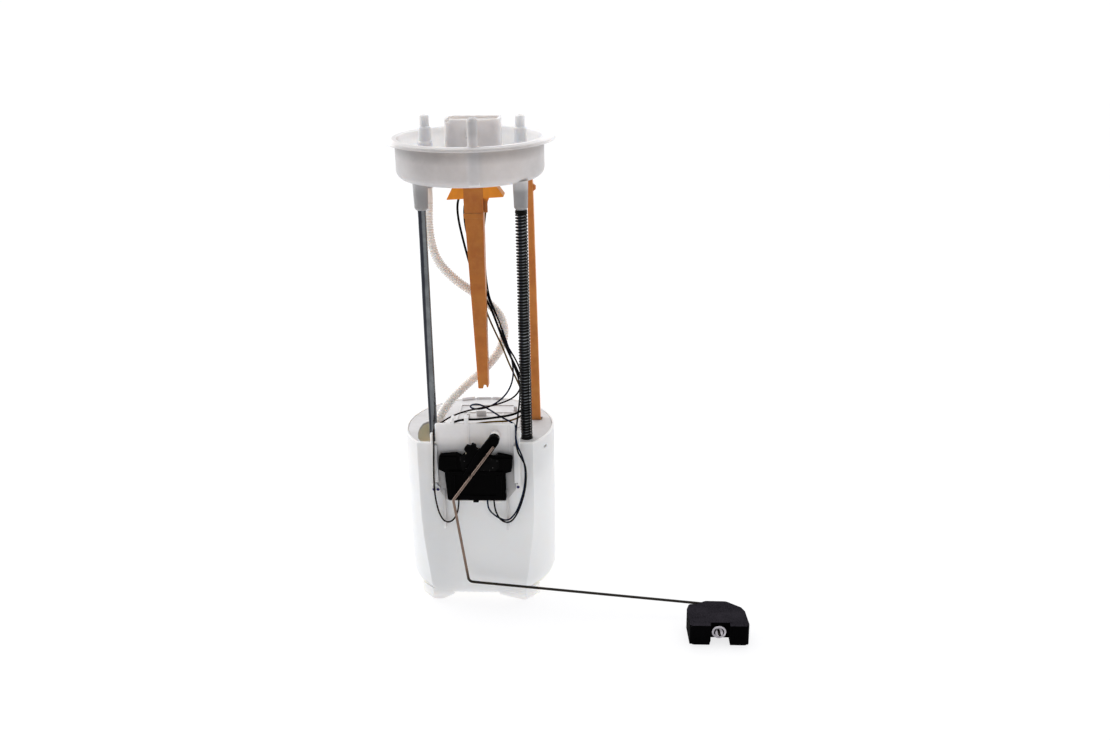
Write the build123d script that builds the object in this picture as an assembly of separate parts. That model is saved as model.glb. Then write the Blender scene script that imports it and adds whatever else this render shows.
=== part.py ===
from build123d import *
import os
from math import sin, cos, tan, acos, radians, degrees, pi, sqrt

os.makedirs("parts", exist_ok=True)

# ------------------------------------------------------------------
# Fuel pump module: mounting flange on two guide rods over a reservoir
# with an electric pump inside and a float level sender on its front.
# Millimetres, +Z up, origin under the middle of the reservoir, z = 0 at its feet.
# ------------------------------------------------------------------

# flange
FL_X, FL_Y = 0.0, 4.0          # flange axis
RIM_R, RIM_TOP, RIM_T = 80.0, 456.5, 3.0
SKIRT_R, BOWL_R = 69.0, 66.0
FL_BOTTOM, FL_FLOOR = 419.5, 423.5
STEM_IN = (-42.0, 8.0)         # feed stem over the hose
STEM_OUT = (47.3, 2.0)         # return stem
STEM_VENT = (10.8, -61.0)      # vent stem on the front wall
STEM_TIP_R = 4.45
VENT_R = 4.6
STEM_BORE_R = 2.5

# electrical socket
SOCK_X, SOCK_Y = 1.5, 24.0
SOCK_W, SOCK_D, SOCK_TOP = 52.0, 27.0, 470.5
PINS_X = (-11.0, -5.0, 1.5, 8.0, 14.0)

# guide rods
ROD_R = 4.0
RODS = ((-41.5, -35.0), (49.5, -35.0))
ROD_TOP, ROD_END = 420.0, 64.0
GUIDE_R = 4.08                 # running bore round a rod
BOSS_END = 395.5
TRAVEL = 44.0                  # flange travel towards the reservoir

# spring
SPRING_LOW, SPRING_RO, SPRING_RI = 168.0, 5.75, 4.35

# reservoir
CAN_R, CAN_WALL, CAN_TOP, CAN_BASE = 74.0, 2.2, 170.5, 7.0
CAN_FLAT = -48.0               # flat front wall
FLOOR_TOP = CAN_BASE + 2.4
LID_LOW, LID_TOP = 167.6, 170.0

# pump
PX, PY = 5.0, 10.0
PUMP_R, PUMP_RI = 19.0, 17.4
SHAFT_R, BUSH_R = 1.5, 1.54

# level sender
PIV_X, PIV_Z = 20.5, 180.0
WIRE_R = 1.3
WIRE_Y = -67.45
FLOAT_X, FLOAT_Z = 233.6, 11.2
FLOAT_WIRE_Y = -75.0           # the wire leans forward towards the float

# cords
HOSE_R, HOSE_RI = 4.75, 2.6
GROUND_R, SUPPLY_R, SENDER_R = 1.1, 0.85, 0.8

BOT = (Align.CENTER, Align.CENTER, Align.MIN)


def cyl(x, y, z0, z1, r):
    return Pos(x, y, z0) * Cylinder(r, z1 - z0, align=BOT)


def tube(x, y, z0, z1, ro, ri):
    return cyl(x, y, z0, z1, ro) - cyl(x, y, z0 - 1, z1 + 1, ri)


def ycyl(x, z, y0, y1, r):
    return Pos(x, y0, z) * Rot(-90, 0, 0) * Cylinder(r, y1 - y0, align=BOT)


def xcyl(y, z, x0, x1, r):
    return Pos(x0, y, z) * Rot(0, 90, 0) * Cylinder(r, x1 - x0, align=BOT)


def block(x0, x1, y0, y1, z0, z1):
    return Pos((x0 + x1) / 2, (y0 + y1) / 2, (z0 + z1) / 2) * Box(x1 - x0, y1 - y0, z1 - z0)


def outline(pts, to3):
    """Closed face from (a, b) or (a, b, corner radius) points."""
    n = len(pts)
    info = []
    for i, p in enumerate(pts):
        r = p[2] if len(p) > 2 else 0
        a = Vector(pts[i - 1][0], pts[i - 1][1], 0)
        b = Vector(p[0], p[1], 0)
        c = Vector(pts[(i + 1) % n][0], pts[(i + 1) % n][1], 0)
        if r:
            u, v = (a - b).normalized(), (c - b).normalized()
            ang = acos(max(-1, min(1, u.dot(v))))
            t = r / tan(ang / 2)
            m = (u + v).normalized()
            info.append((b + u * t, b + m * (r / sin(ang / 2) - r), b + v * t))
        else:
            info.append((b, None, b))
    edges = []
    for i in range(n):
        s, m, e = info[i]
        if m is not None:
            edges.append(ThreePointArc(to3(s), to3(m), to3(e)))
        nxt = info[(i + 1) % n][0]
        if (nxt - e).length > 1e-5:
            edges.append(Line(to3(e), to3(nxt)))
    return make_face(edges)


def plate_xy(pts, z0, z1):
    return extrude(outline(pts, lambda v: Vector(v.X, v.Y, z0)), z1 - z0, dir=(0, 0, 1))


def plate_xz(pts, y0, y1):
    return extrude(outline(pts, lambda v: Vector(v.X, y0, v.Y)), y1 - y0, dir=(0, 1, 0))


def plate_yz(pts, x0, x1):
    return extrude(outline(pts, lambda v: Vector(x0, v.X, v.Y)), x1 - x0, dir=(1, 0, 0))


def turned(pts, x, y):
    """Body of revolution about a vertical axis from (radius, z) points."""
    return Pos(x, y, 0) * revolve(outline(pts, lambda v: Vector(v.X, 0, v.Y)), Axis.Z, 360)


def rrect(cx, cy, w, d, r, z0, z1):
    return Pos(cx, cy, z0) * extrude(RectangleRounded(w, d, r), z1 - z0)


def sector(x, y, r, a0, a1, z0, z1):
    """Wedge from angle a0 to a1 (degrees)."""
    n = max(2, int((a1 - a0) / 30) + 1)
    pts = [(x, y)] + [(x + r * cos(radians(a0 + (a1 - a0) * i / n)), y + r * sin(radians(a0 + (a1 - a0) * i / n))) for i in range(n + 1)]
    return plate_xy(pts, z0, z1)


def as_one(shape):
    """Plain solid or compound of solids."""
    s = shape.solids()
    return s[0] if len(s) == 1 else Compound(children=list(s))


nodes = {}


def keep(name, shape, count=1):
    s = shape.solids()
    if len(s) != count:
        print("!! ", name, "has", len(s), "solids, wanted", count, [round(q.volume, 2) for q in s])
    nodes[name] = as_one(shape)


# ------------------------------------------------------------------ flange
bowl = turned([(0, FL_BOTTOM), (SKIRT_R, FL_BOTTOM, 8), (SKIRT_R, RIM_TOP - RIM_T, 1.2), (RIM_R, RIM_TOP - RIM_T, 0.9),
               (RIM_R, RIM_TOP, 1.2), (BOWL_R + 1.2, RIM_TOP, 1.0), (BOWL_R, FL_FLOOR, 5), (0, FL_FLOOR)], FL_X, FL_Y)


def stem(x, y, r0, z0, r1, z1, r2, z2, floor=FL_FLOOR - 1):
    return turned([(0, floor), (r0 + 0.6, floor), (r0, z0, 0.8), (r1, z0 + 0.9, 0.3), (r1, z1), (r2, z1 + 1.2), (r2, z2 - 1.2), (r2 - 1.0, z2), (0, z2)], x, y)


flange = bowl
flange += stem(STEM_IN[0], STEM_IN[1], 6.6, 450.5, 5.75, 463.8, STEM_TIP_R, 475.6)
flange += stem(STEM_OUT[0], STEM_OUT[1], 6.6, 450.5, 5.75, 463.8, STEM_TIP_R, 475.6)
# vent stem: buried in the front wall below the rim, free and domed above it
vent_low = cyl(STEM_VENT[0], STEM_VENT[1], FL_FLOOR - 1, RIM_TOP, 5.3) & cyl(FL_X, FL_Y, 400, 480, 68.9)
vent_top = turned([(0, 454.0), (VENT_R, 454.0), (VENT_R, 481.5, 3.6), (0, 481.5)], STEM_VENT[0], STEM_VENT[1])
flange += vent_low + vent_top
# stiffening ribs on the bowl floor
for a in (20, 78, 160, 205, 335):
    flange += Pos(FL_X, FL_Y, 0) * Rot(0, 0, a) * block(40, BOWL_R + 0.5, -0.9, 0.9, FL_FLOOR - 0.5, FL_FLOOR + 6)
# rod bosses
for (x, y) in RODS:
    flange += turned([(0, BOSS_END), (4.9, BOSS_END), (6.3, BOSS_END + 1.9), (7.0, FL_BOTTOM + 2.5), (0, FL_BOTTOM + 2.5)], x, y)
# hose collar under the feed stem and spigot under the return stem
flange += turned([(0, 408.0), (6.25, 408.0, 0.6), (6.25, FL_BOTTOM + 1), (0, FL_BOTTOM + 1)], *STEM_IN)
flange += turned([(0, 409.0), (4.3, 409.0, 0.5), (4.3, 412.0), (5.0, 413.0), (5.0, FL_BOTTOM + 1), (0, FL_BOTTOM + 1)], *STEM_OUT)
# locating pads under the floor for the two carriers
flange -= cyl(*STEM_IN, 400, 480, STEM_BORE_R)
flange -= cyl(*STEM_OUT, 400, 480, STEM_BORE_R)
for (x, y) in RODS:
    flange -= cyl(x, y, BOSS_END - 1, ROD_TOP, ROD_R + 0.02)
flange -= block(SOCK_X - 23, SOCK_X + 23, SOCK_Y - 10.5, SOCK_Y + 10.5, FL_BOTTOM - 2, FL_FLOOR + 2)
# index notch at the rear of the rim
for a in (100,):
    flange -= Pos(FL_X, FL_Y, 0) * Rot(0, 0, a) * block(RIM_R - 2.5, RIM_R + 2, -2.5, 2.5, RIM_TOP - RIM_T - 1, RIM_TOP + 1)
keep("flange", flange)

# ------------------------------------------------------------------ electrical socket and its pins
sock = rrect(SOCK_X, SOCK_Y, SOCK_W, SOCK_D, 6, FL_FLOOR, SOCK_TOP)
sock += block(SOCK_X - 22.9, SOCK_X + 22.9, SOCK_Y - 10.4, SOCK_Y + 10.4, 411.0, FL_FLOOR + 1)
sock -= rrect(SOCK_X, SOCK_Y, SOCK_W - 4, SOCK_D - 4, 4, 440.0, SOCK_TOP + 1)
# foot bead, latch ramp and keys
sock += rrect(SOCK_X, SOCK_Y, SOCK_W + 2, SOCK_D + 2, 7, FL_FLOOR, FL_FLOOR + 2) - rrect(SOCK_X, SOCK_Y, SOCK_W - 1, SOCK_D - 1, 5.5, FL_FLOOR - 1, FL_FLOOR + 3)
sock += plate_yz([(10.7, 452.0), (8.6, 455.0), (8.6, 457.0), (10.7, 463.0)], SOCK_X - 6, SOCK_X + 6)
sock += block(SOCK_X - 19, SOCK_X - 17, 12.3, 14.2, 439.5, 466.0) + block(SOCK_X + 17, SOCK_X + 19, 12.3, 14.2, 439.5, 466.0)
sock -= block(SOCK_X - 24.5, SOCK_X - 20.5, 8, 14, 467.3, 472)
for px in PINS_X:
    sock -= block(px - 1.4, px + 1.4, SOCK_Y - 0.4, SOCK_Y + 0.4, 405, 445)
keep("electrical_connector", sock)

pins = None
for px in PINS_X:
    p = plate_xz([(px - 1.4, 411.0), (px + 1.4, 411.0), (px + 1.4, 453.4), (px + 0.7, 455.0), (px - 0.7, 455.0), (px - 1.4, 453.4)], SOCK_Y - 0.4, SOCK_Y + 0.4)
    pins = p if pins is None else pins + p
keep("connector_terminals", pins, len(PINS_X))

# ------------------------------------------------------------------ carriers under the flange
# front post: channel open to the back, two legs at its foot, roof-like wings at its head
post = plate_xz([(-5.0, 401.0), (1.9, 215.0, 0.8), (6.6, 215.0, 0.8), (7.2, 218.8, 0.8), (9.8, 218.8, 0.8), (10.2, 216.2), (11.6, 216.2), (13.0, 401.0), (13.0, 419.5), (-5.0, 419.5)], -18.0, -6.4)
post -= plate_xz([(-2.8, 398.0), (3.2, 229.5), (9.4, 229.5), (11.0, 398.0)], -16.0, -2.0)
post -= plate_xz([(3.2, 229.6), (3.4, 213.0), (5.2, 213.0), (5.4, 229.6)], -16.0, -2.0)
for z in (250.0, 285.0, 320.0, 355.0, 385.0):          # cross ribs in the channel
    post += plate_xz([(-4.2 + (400 - z) * 0.0333, z), (11.6, z), (11.6, z + 1.6), (-4.2 + (400 - z) * 0.0333, z + 1.6)], -16.5, -9.0)
post += block(13.0, 16.5, -13.0, -11.2, 388.0, 419.5)
post += plate_xz([(16.3, 397.0), (19.0, 403.0), (20.5, 415.0), (20.5, 419.5), (16.3, 419.5)], -13.0, -11.2)
post += plate_xz([(-11.1, 419.5), (-20.6, 401.6), (-20.3, 401.0), (-19.0, 401.0), (-10.0, 417.7), (-4.0, 417.7), (-4.0, 419.5)], -18.0, -3.0)
post += plate_xz([(21.2, 419.5), (32.2, 404.2), (31.9, 403.4), (30.4, 403.4), (20.2, 417.7), (12.0, 417.7), (12.0, 419.5)], -18.0, -3.0)
post += plate_xz([(-11.1, 419.5), (-20.6, 401.6), (-20.3, 401.0), (-4.6, 401.8), (-4.6, 419.5)], -18.0, -16.2)
post += plate_xz([(21.2, 419.5), (32.2, 404.2), (31.9, 403.4), (12.6, 402.2), (12.6, 419.5)], -18.0, -16.2)
post += block(-4.95, -3.4, -17.0, -3.0, 401.8, 419.5) + block(11.6, 13.0, -17.0, -3.0, 402.2, 419.5)
post += block(-5.4, 13.0, -18.4, -17.0, 383.5, 388.0)     # moulding step
keep("wire_bracket", post)

# rear post: runs through the window in the lid
rear = plate_xz([(52.0, 419.5), (51.0, 160.0), (60.0, 160.0), (57.1, 410.0), (55.9, 419.5)], 12.0, 20.0)
rear -= plate_xz([(53.3, 400.0), (53.0, 172.0), (58.0, 172.0), (55.5, 400.0)], 14.2, 21.0)
for z in (200.0, 240.0, 280.0, 320.0, 360.0):
    rear += block(52.2, 58.4 - (z - 172.0) * 0.0113, 14.0, 18.5, z, z + 1.6)
rear += plate_xz([(56.0, 410.5), (56.0, 402.6), (57.6, 402.6), (59.7, 404.2), (59.7, 407.4), (58.2, 408.4)], 14.0, 18.0)
keep("rear_stop_post", rear)

# guide rods and their end clips
rods = None
for (x, y) in RODS:
    r = turned([(0, ROD_END), (ROD_R - 0.7, ROD_END), (ROD_R, ROD_END + 0.7), (ROD_R, 65.9), (3.3, 65.9), (3.3, 67.2), (ROD_R, 67.2), (ROD_R, ROD_TOP), (0, ROD_TOP)], x, y)
    rods = r if rods is None else rods + r
keep("guide_rods", rods, 2)
clips = None
for (x, y) in RODS:
    c = tube(x, y, 66.0, 67.1, 6.2, 3.32) - block(x - 2.2, x + 2.2, y - 9, y, 65, 68)
    clips = c if clips is None else clips + c
keep("rod_clips", clips, 2)

# ------------------------------------------------------------------ spring on the right rod
SX, SY = RODS[1]
keep("coil_spring", tube(SX, SY, SPRING_LOW, BOSS_END, SPRING_RO, SPRING_RI))

# ------------------------------------------------------------------ reservoir
FRONT = [(-48.0, 170.5), (-48.0, 140.0), (-48.0, 104.0), (-49.0, 84.0), (-51.0, 64.0), (-53.0, 45.0), (-54.8, 28.0), (-55.4, 14.0)]


def d_solid(r, inset, z0, z1, rb, fb, front_round):
    """D-section body: turned side, bulging flat front."""
    round_part = turned([(0, z0), (r - 1.0, z0, rb), (r, z0 + 60), (r, z1), (0, z1)], 0, 0)
    pts = [Vector(-85, y + inset, z) for y, z in FRONT]
    pts = [Vector(-85, pts[0].Y, z1)] + pts[1:]
    low = pts[-1]
    edges = [Line(pts[0], pts[2]), Spline(*pts[2:], tangents=[Vector(0, 0, -1), Vector(0, 0.05, -1)])]
    edges.append(ThreePointArc(low, Vector(-85, low.Y + front_round * 0.30, z0 + (low.Z - z0) * 0.28), Vector(-85, low.Y + front_round, z0)))
    edges += [Line(Vector(-85, low.Y + front_round, z0), Vector(-85, 85, z0)), Line(Vector(-85, 85, z0), Vector(-85, 85, z1)), Line(Vector(-85, 85, z1), pts[0])]
    return round_part & extrude(make_face(edges), 170, dir=(1, 0, 0))


outer = d_solid(CAN_R, 0.0, CAN_BASE, CAN_TOP, 15.0, 5.0, 7.0)
inner = d_solid(CAN_R - CAN_WALL, CAN_WALL, FLOOR_TOP, CAN_TOP + 2, 13.0, 4.0, 5.0)
FEET = [(40.0, 48.0), (-40.0, 48.0), (0.0, 0.0)]
can = outer
for (x, y) in FEET:
    can += turned([(0, 0), (5.0, 0), (6.0, 1.0), (6.0, CAN_BASE + 1.2), (0, CAN_BASE + 1.2)], x, y) if (x, y) == (0.0, 0.0) else turned([(0, 0), (5.0, 0), (6.0, 1.0), (6.6, 13.0), (0, 13.0)], x, y)
# the front wall's corners run down to the floor as feet
low = d_solid(CAN_R - 0.6, 0.5, 0.0, CAN_TOP, 5.0, 3.0, 3.0)
can += low & (plate_xz([(20.0, 14.0), (20.0, 7.8), (43.0, 0.0), (70.0, 0.0), (70.0, 14.0)], -60.0, -41.0) + plate_xz([(-26.0, 14.0), (-26.0, 7.6), (-38.0, 0.0), (-70.0, 0.0), (-70.0, 14.0)], -60.0, -41.0))
can -= inner
# ledge that carries the lid
ledge = (cyl(0, 0, 163.4, LID_LOW, CAN_R - CAN_WALL + 0.3) - cyl(0, 0, 160, 172, 69.9)) & block(-80, 80, -44, 80, 150, 172)
ledge -= block(-80, -30, -46, 10, 150, 172)
ledge -= block(63, 80, -38, -25, 150, 172)
can += ledge & inner
# guide eyes for the rods, webbed to the front wall
for (x, y) in RODS:
    eye = cyl(x, y, 67.3, 100.0, 7.2) + block(x - 2.0, x + 2.0, -52, y, 67.3, 100.0)
    can += eye & outer
    can -= cyl(x, y, 60, 105, GUIDE_R)
# rails for the sender panel, with fingers above the rim
LOCK_PINS = ((-41.3, 122.2), (-37.3, 122.2), (41.3, 125.5))
can += block(-42.2, -39.9, -53.0, -47.5, 128.0, 170.5) + block(-42.2, -39.9, -53.0, -48.0, 170.0, 181.0)
can += block(41.6, 43.9, -53.0, -47.5, 128.0, 170.5) + block(41.6, 43.9, -53.0, -48.0, 170.0, 181.0)
can += block(-40.0, -36.4, -52.6, -50.7, 130.0, 169.0) + block(38.0, 41.7, -52.6, -50.7, 130.0, 169.0)
can += plate_xz([(41.6, 178.0), (45.4, 178.0), (45.4, 182.5), (44.0, 184.5), (41.6, 184.5)], -52.6, -48.6)
can += plate_xz([(-43.6, 119.4), (-37.8, 119.4), (-37.8, 128.5), (-43.6, 128.5)], -52.0, -47.5) + plate_xz([(-38.0, 119.4), (-35.2, 119.4, 1), (-35.2, 124.6, 1), (-38.0, 126.5)], -52.0, -50.6)
can += plate_xz([(39.4, 121.0), (44.4, 121.0), (44.4, 128.5), (39.4, 128.5)], -52.0, -47.5)
for (x, z) in LOCK_PINS:
    can -= ycyl(x, z, -54.0, -50.4, 1.5)
# hoops round the top for stiffness, snap window for the lid on the right, and a fill slot low at the back
can -= Rot(0, 0, -25) * block(70, 78, -3.0, 3.0, 158.5, 161.6)
can -= Rot(0, 0, 155) * block(70, 78, -3.0, 3.0, 158.5, 161.6)
# inlet valve seat
VX, VY = -5.0, 50.0
can -= cyl(VX, VY, 0, 12, 1.56)
for k in range(4):
    a = radians(45 + 90 * k)
    can -= cyl(VX + 4.9 * cos(a), VY + 4.9 * sin(a), 0, 12, 1.8)
keep("reservoir_can", can)

# small round pins that lock the panel in its rails
dots = None
for (x, z) in LOCK_PINS:
    d = Pos(x, -50.45, z) * Rot(90, 0, 0) * (Cylinder(1.45, 1.6, align=BOT) + Pos(0, 0, 1.55) * Cone(1.45, 0.9, 0.5, align=BOT))
    dots = d if dots is None else dots + d
keep("panel_pins", dots, 3)

# ------------------------------------------------------------------ lid
lid = cyl(0, 0, LID_LOW, LID_TOP, CAN_R - CAN_WALL - 0.4) & block(-80, 80, -45.4, 80, 160, 180)
lid += turned([(0, 162.0), (8.0, 162.0, 1.0), (8.3, LID_TOP), (0, LID_TOP)], SX, SY) & block(0, 80, -45.4, 80, 160, 180)
lid += tube(SX, SY, LID_TOP - 0.5, LID_TOP + 0.6, 7.6, 6.1) & block(0, 80, -45.4, 80, 160, 180)
# castellated wall at the back edge
for (x0, x1, h) in ((-26.0, -13.0, 2.6), (-11.0, 4.0, 1.9), (6.0, 17.0, 2.2)):
    lid += (cyl(0, 0, LID_TOP - 0.5, CAN_TOP + h, 71.0) - cyl(0, 0, 160, 180, 68.6)) & block(x0, x1, 50, 80, 160, 180)
lid += block(-6.0, 4.0, 20.0, 22.4, LID_TOP - 0.5, 176.2) + block(-15.0, -12.0, 15.0, 18.0, LID_TOP - 0.5, 175.0) + block(31.0, 34.5, 34.0, 37.0, LID_TOP - 0.5, 175.4)
# low ribs on the lid
for (x0, x1, y0, y1) in ((-26, 30, 29.2, 30.8), (-26, 30, 49.2, 50.8), (38.2, 39.8, -10, 30), (-25.8, -24.2, -34, 50), (20, 21.6, -34, 28)):
    lid += block(x0, x1, y0, y1, LID_TOP - 0.5, LID_TOP + 1.0)
# opening at the front left for the left rod, the hose and the pump wires
lid -= plate_xy([(-57.0, -36.5), (-59.0, -23.0), (-59.4, -10.2), (-57.9, 0.0), (-53.5, 7.0, 3), (-36.0, 7.0, 3), (-34.0, -30.0), (-33.0, -38.5), (-18.0, -38.5, 2), (-18.0, -47.0), (-51.5, -47.0)], 150, 180)
# window for the rear post and bore for the right rod with the spring's seat
lid -= block(50.5, 61.5, 11.5, 20.5, 150, 180)
lid -= cyl(SX, SY, 150, 180, GUIDE_R)
lid -= cyl(SX, SY, SPRING_LOW, 180, 6.1)
# snap nose into the can's window
lid += Rot(0, 0, -25) * (block(66.0, 69.5, -2.4, 2.4, 158.9, LID_LOW + 0.5) + block(69.0, 72.6, -2.4, 2.4, 158.9, 161.0))
lid += Rot(0, 0, 155) * (block(66.0, 69.5, -2.4, 2.4, 158.9, LID_LOW + 0.5) + block(69.0, 72.6, -2.4, 2.4, 158.9, 161.0))
keep("reservoir_lid", lid)

# ------------------------------------------------------------------ sender panel on the flat front
panel = plate_xz([(-37.5, 191.0, 1.5), (39.2, 191.0, 1.5), (39.2, 129.5), (38.6, 122.0, 3), (30.5, 111.0, 3), (28.0, 109.0, 1), (-27.0, 109.0, 1), (-30.0, 111.0, 3), (-37.2, 122.0, 3), (-37.5, 129.5)], -50.3, -48.05)
panel += block(-32.5, -30.5, -51.2, -49.4, 83.0, 122.0) + block(29.5, 31.5, -51.2, -49.4, 83.0, 122.0)
panel += block(-32.4, -30.6, -56.0, -50.0, 82.0, 84.4) + block(-32.4, -30.6, -56.0, -54.8, 84.0, 88.5)
panel += block(29.6, 31.4, -58.4, -50.0, 82.0, 84.4) + block(29.6, 31.4, -58.4, -57.2, 84.0, 88.5)
# wire teeth along the top edge
for (x0, x1) in ((-9.0, -5.0), (-21.5, -19.0)):
    panel += plate_yz([(-50.3, 190.0), (-48.2, 190.0), (-48.2, 195.6), (-44.0, 195.9), (-44.0, 197.4), (-50.3, 197.4)], x0, x1)
# folded side flanges, boss behind the lever's pivot and raised pads
panel += block(-5.6, -4.6, -50.9, -50.0, 162.6, 189.5) + block(33.2, 34.6, -50.9, -50.0, 162.6, 189.0)
panel += ycyl(PIV_X, PIV_Z, -59.2, -49.0, 4.6)
panel -= ycyl(PIV_X, PIV_Z, -62.0, -40.0, 2.0)
keep("sender_bracket", panel)

pin = ycyl(PIV_X, PIV_Z, -66.5, -48.1, 2.0) + ycyl(PIV_X, PIV_Z, -67.4, -66.2, 2.6)
keep("sender_pivot_pin", pin)

# housing: base plate with ears, raised frame, card pocket, snap tab, terminal channels
T_OUT = [(-27.4, 112.9, 1.8), (29.6, 112.9, 1.5), (29.6, 142.0, 1), (35.6, 143.8, 1.2), (36.8, 158.6, 1.2), (22.6, 161.6, 1.2), (20.4, 158.6), (-12.0, 158.6), (-16.8, 161.8, 1.2), (-34.0, 160.2, 1.8), (-35.2, 145.6, 1.5), (-29.4, 142.6, 1)]
house = plate_xz(T_OUT, -56.2, -50.3)
house += plate_xz([(-25.5, 115.0, 1), (27.5, 115.0, 1), (27.5, 144.0), (-25.5, 144.0)], -58.0, -56.0)
house -= plate_xz([(-22.0, 118.5, 1), (24.0, 118.5, 1), (24.0, 141.0, 1), (-22.0, 141.0, 1)], -59.0, -57.0)
house += block(-34.0, -17.5, -57.4, -56.0, 147.5, 158.8) + block(24.0, 36.0, -57.4, -56.0, 147.0, 157.4)
house += block(-2.5, 2.6, -57.0, -51.0, 111.0, 114.5)
for x in (-17.0, 11.0, 17.4):
    house -= block(x - 1.3, x + 1.3, -55.4, -52.6, 108.0, 121.0)
house += block(-24.0, -19.5, -58.2, -56.8, 119.0, 140.0) + block(21.0, 25.5, -58.2, -56.8, 119.0, 140.0)
keep("sender_housing", house)

# ceramic card with its arc-shaped track, on the housing's front below the pivot
card = plate_xz([(-12.0, 144.2), (20.0, 144.2), (23.5, 148.0), (23.5, 157.0), (14.0, 158.2), (4.0, 162.0), (-2.0, 164.5), (-8.5, 164.5), (-14.0, 158.4)], -57.0, -56.2)
card += (ycyl(PIV_X, PIV_Z, -57.25, -56.9, 33.0) - ycyl(PIV_X, PIV_Z, -60, -50, 28.0)) & plate_xz([(-12.0, 145.0), (23.0, 145.0), (23.0, 156.5), (14.0, 157.5), (3.5, 161.4), (-2.0, 163.8), (-8.0, 163.8), (-13.0, 158.0)], -60, -50)
keep("resistor_card", card)

# ------------------------------------------------------------------ float arm
ux, uz = -25.5 / 46.6, -39.0 / 46.6
nx, nz = -uz, ux


def along(t, s):
    return (PIV_X + ux * t + nx * s, PIV_Z + uz * t + nz * s)


lever = ycyl(PIV_X, PIV_Z, -66.0, -59.4, 5.2)
lever += plate_xz([along(0, 5.2), along(47.5, 4.6), along(49.5, 2.0), along(49.5, -2.0), along(47.5, -5.4), along(24, -7.0), along(0, -5.2)], -66.0, -61.0)
lever += plate_xz([(13.0, 167.5), (3.6, 171.0), (3.0, 174.6, 1.2), (-0.6, 176.4, 1.2), (-2.0, 173.4), (-5.4, 174.4, 1.2), (-8.4, 171.0, 1.2), (-6.0, 167.0), (-8.2, 161.0), (-6.0, 156.0), (2.0, 156.0), (8.0, 158.0)], -65.0, -60.4)
lever -= ycyl(PIV_X, PIV_Z, -70, -55, 2.05)
WIRE_A, WIRE_B, WIRE_C = (20.3, 174.6), (-20.4, 118.6), (-8.7, 29.2)
wx, wz = WIRE_B[0] - WIRE_A[0], WIRE_B[1] - WIRE_A[1]
wl = sqrt(wx * wx + wz * wz)
wx, wz = wx / wl, wz / wl
for t in (12.0, 38.0):          # clips either side of the wire
    for s in (-2.65, 2.65):
        cx, cz = WIRE_A[0] + wx * t - wz * s, WIRE_A[1] + wz * t + wx * s
        lever += Pos(cx, -67.2, cz) * Box(1.8, 3.4, 1.8)
keep("sender_lever", lever)

wiper = block(-7.4, -4.8, -60.4, -57.6, 158.0, 160.0) + block(-3.2, -0.8, -60.4, -57.6, 158.0, 160.0) + block(-7.4, -0.8, -60.4, -59.8, 157.0, 166.0)
keep("wiper_contacts", wiper)

WIRE_D = (FLOAT_X, FLOAT_Z)
path_pts = [Vector(WIRE_A[0], WIRE_Y, WIRE_A[1]), Vector(WIRE_B[0], WIRE_Y, WIRE_B[1]), Vector(WIRE_C[0], WIRE_Y, WIRE_C[1]),
            Vector(FLOAT_X, FLOAT_WIRE_Y, FLOAT_Z), Vector(FLOAT_X, -127.0, FLOAT_Z)]
arm_path = FilletPolyline(*path_pts, radius=[4.0, 5.0, 5.0])
arm_wire = sweep(Plane(origin=path_pts[0], z_dir=(path_pts[1] - path_pts[0])) * Circle(WIRE_R), path=arm_path)
keep("float_arm_wire", arm_wire)

fl = plate_xy([(206.0, -128.5, 2.5), (261.8, -128.5, 4), (259.6, -102.0, 5), (256.6, -95.0, 4), (243.0, -84.4, 6), (223.0, -84.2, 6), (214.4, -90.0, 4), (207.0, -90.6, 3), (204.4, -99.6, 3)], 0.5, 21.0)
fl = fl & (plate_xz([(206.0, 0.5, 4.5), (262.0, 0.5, 5), (262.0, 21.0, 4.5), (206.0, 21.0, 3.5)], -140, -127.0) + block(200.0, 262.0, -127.2, -80.0, 0.5, 21.0))
fl -= block(225.5, 243.5, -130.0, -122.5, 4.6, 22.0)
fl -= plate_xz([(224.4, 0.0), (225.4, 5.0, 0.8), (242.8, 5.0, 0.8), (243.8, 0.0)], -140, -80)
fl -= ycyl(FLOAT_X, FLOAT_Z, -140, -60, WIRE_R + 0.06)
keep("float", fl)

nut = ycyl(FLOAT_X, FLOAT_Z, -123.5, -122.7, 6.6)
nut += (Pos(FLOAT_X, -123.4, FLOAT_Z) * Rot(90, 0, 0) * Cone(5.0, 3.6, 1.2, align=BOT))
nut -= ycyl(FLOAT_X, FLOAT_Z, -140, -100, WIRE_R + 0.02)
nut -= Pos(FLOAT_X, -124.5, FLOAT_Z) * Rot(0, -17, 0) * (Box(2.4, 5.0, 8.2))
keep("float_push_nut", nut)

# ------------------------------------------------------------------ pump
shell = tube(PX, PY, 26.8, 121.2, PUMP_R, PUMP_RI) + tube(PX, PY, 26.8, 28.0, PUMP_R - 0.5, 16.0) + tube(PX, PY, 120.0, 121.2, PUMP_R - 0.5, 16.0)
keep("pump_shell", shell)

inlet = cyl(PX, PY, 28.0, 34.0, 17.35) + tube(PX, PY, 33.5, 38.0, 17.35, 15.7) + cyl(PX + 8, PY, 17.6, 29.0, 5.5)
inlet -= cyl(PX + 8, PY, 10, 40, 3.2) + cyl(PX, PY, 30.5, 40, 1.6)
keep("pump_inlet_cover", inlet)

chamber = cyl(PX, PY, 38.0, 45.5, 17.35) - cyl(PX, PY, 30, 50, 4.0) - cyl(PX - 11, PY, 30, 50, 2.5)
keep("pump_chamber_plate", chamber)

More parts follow.
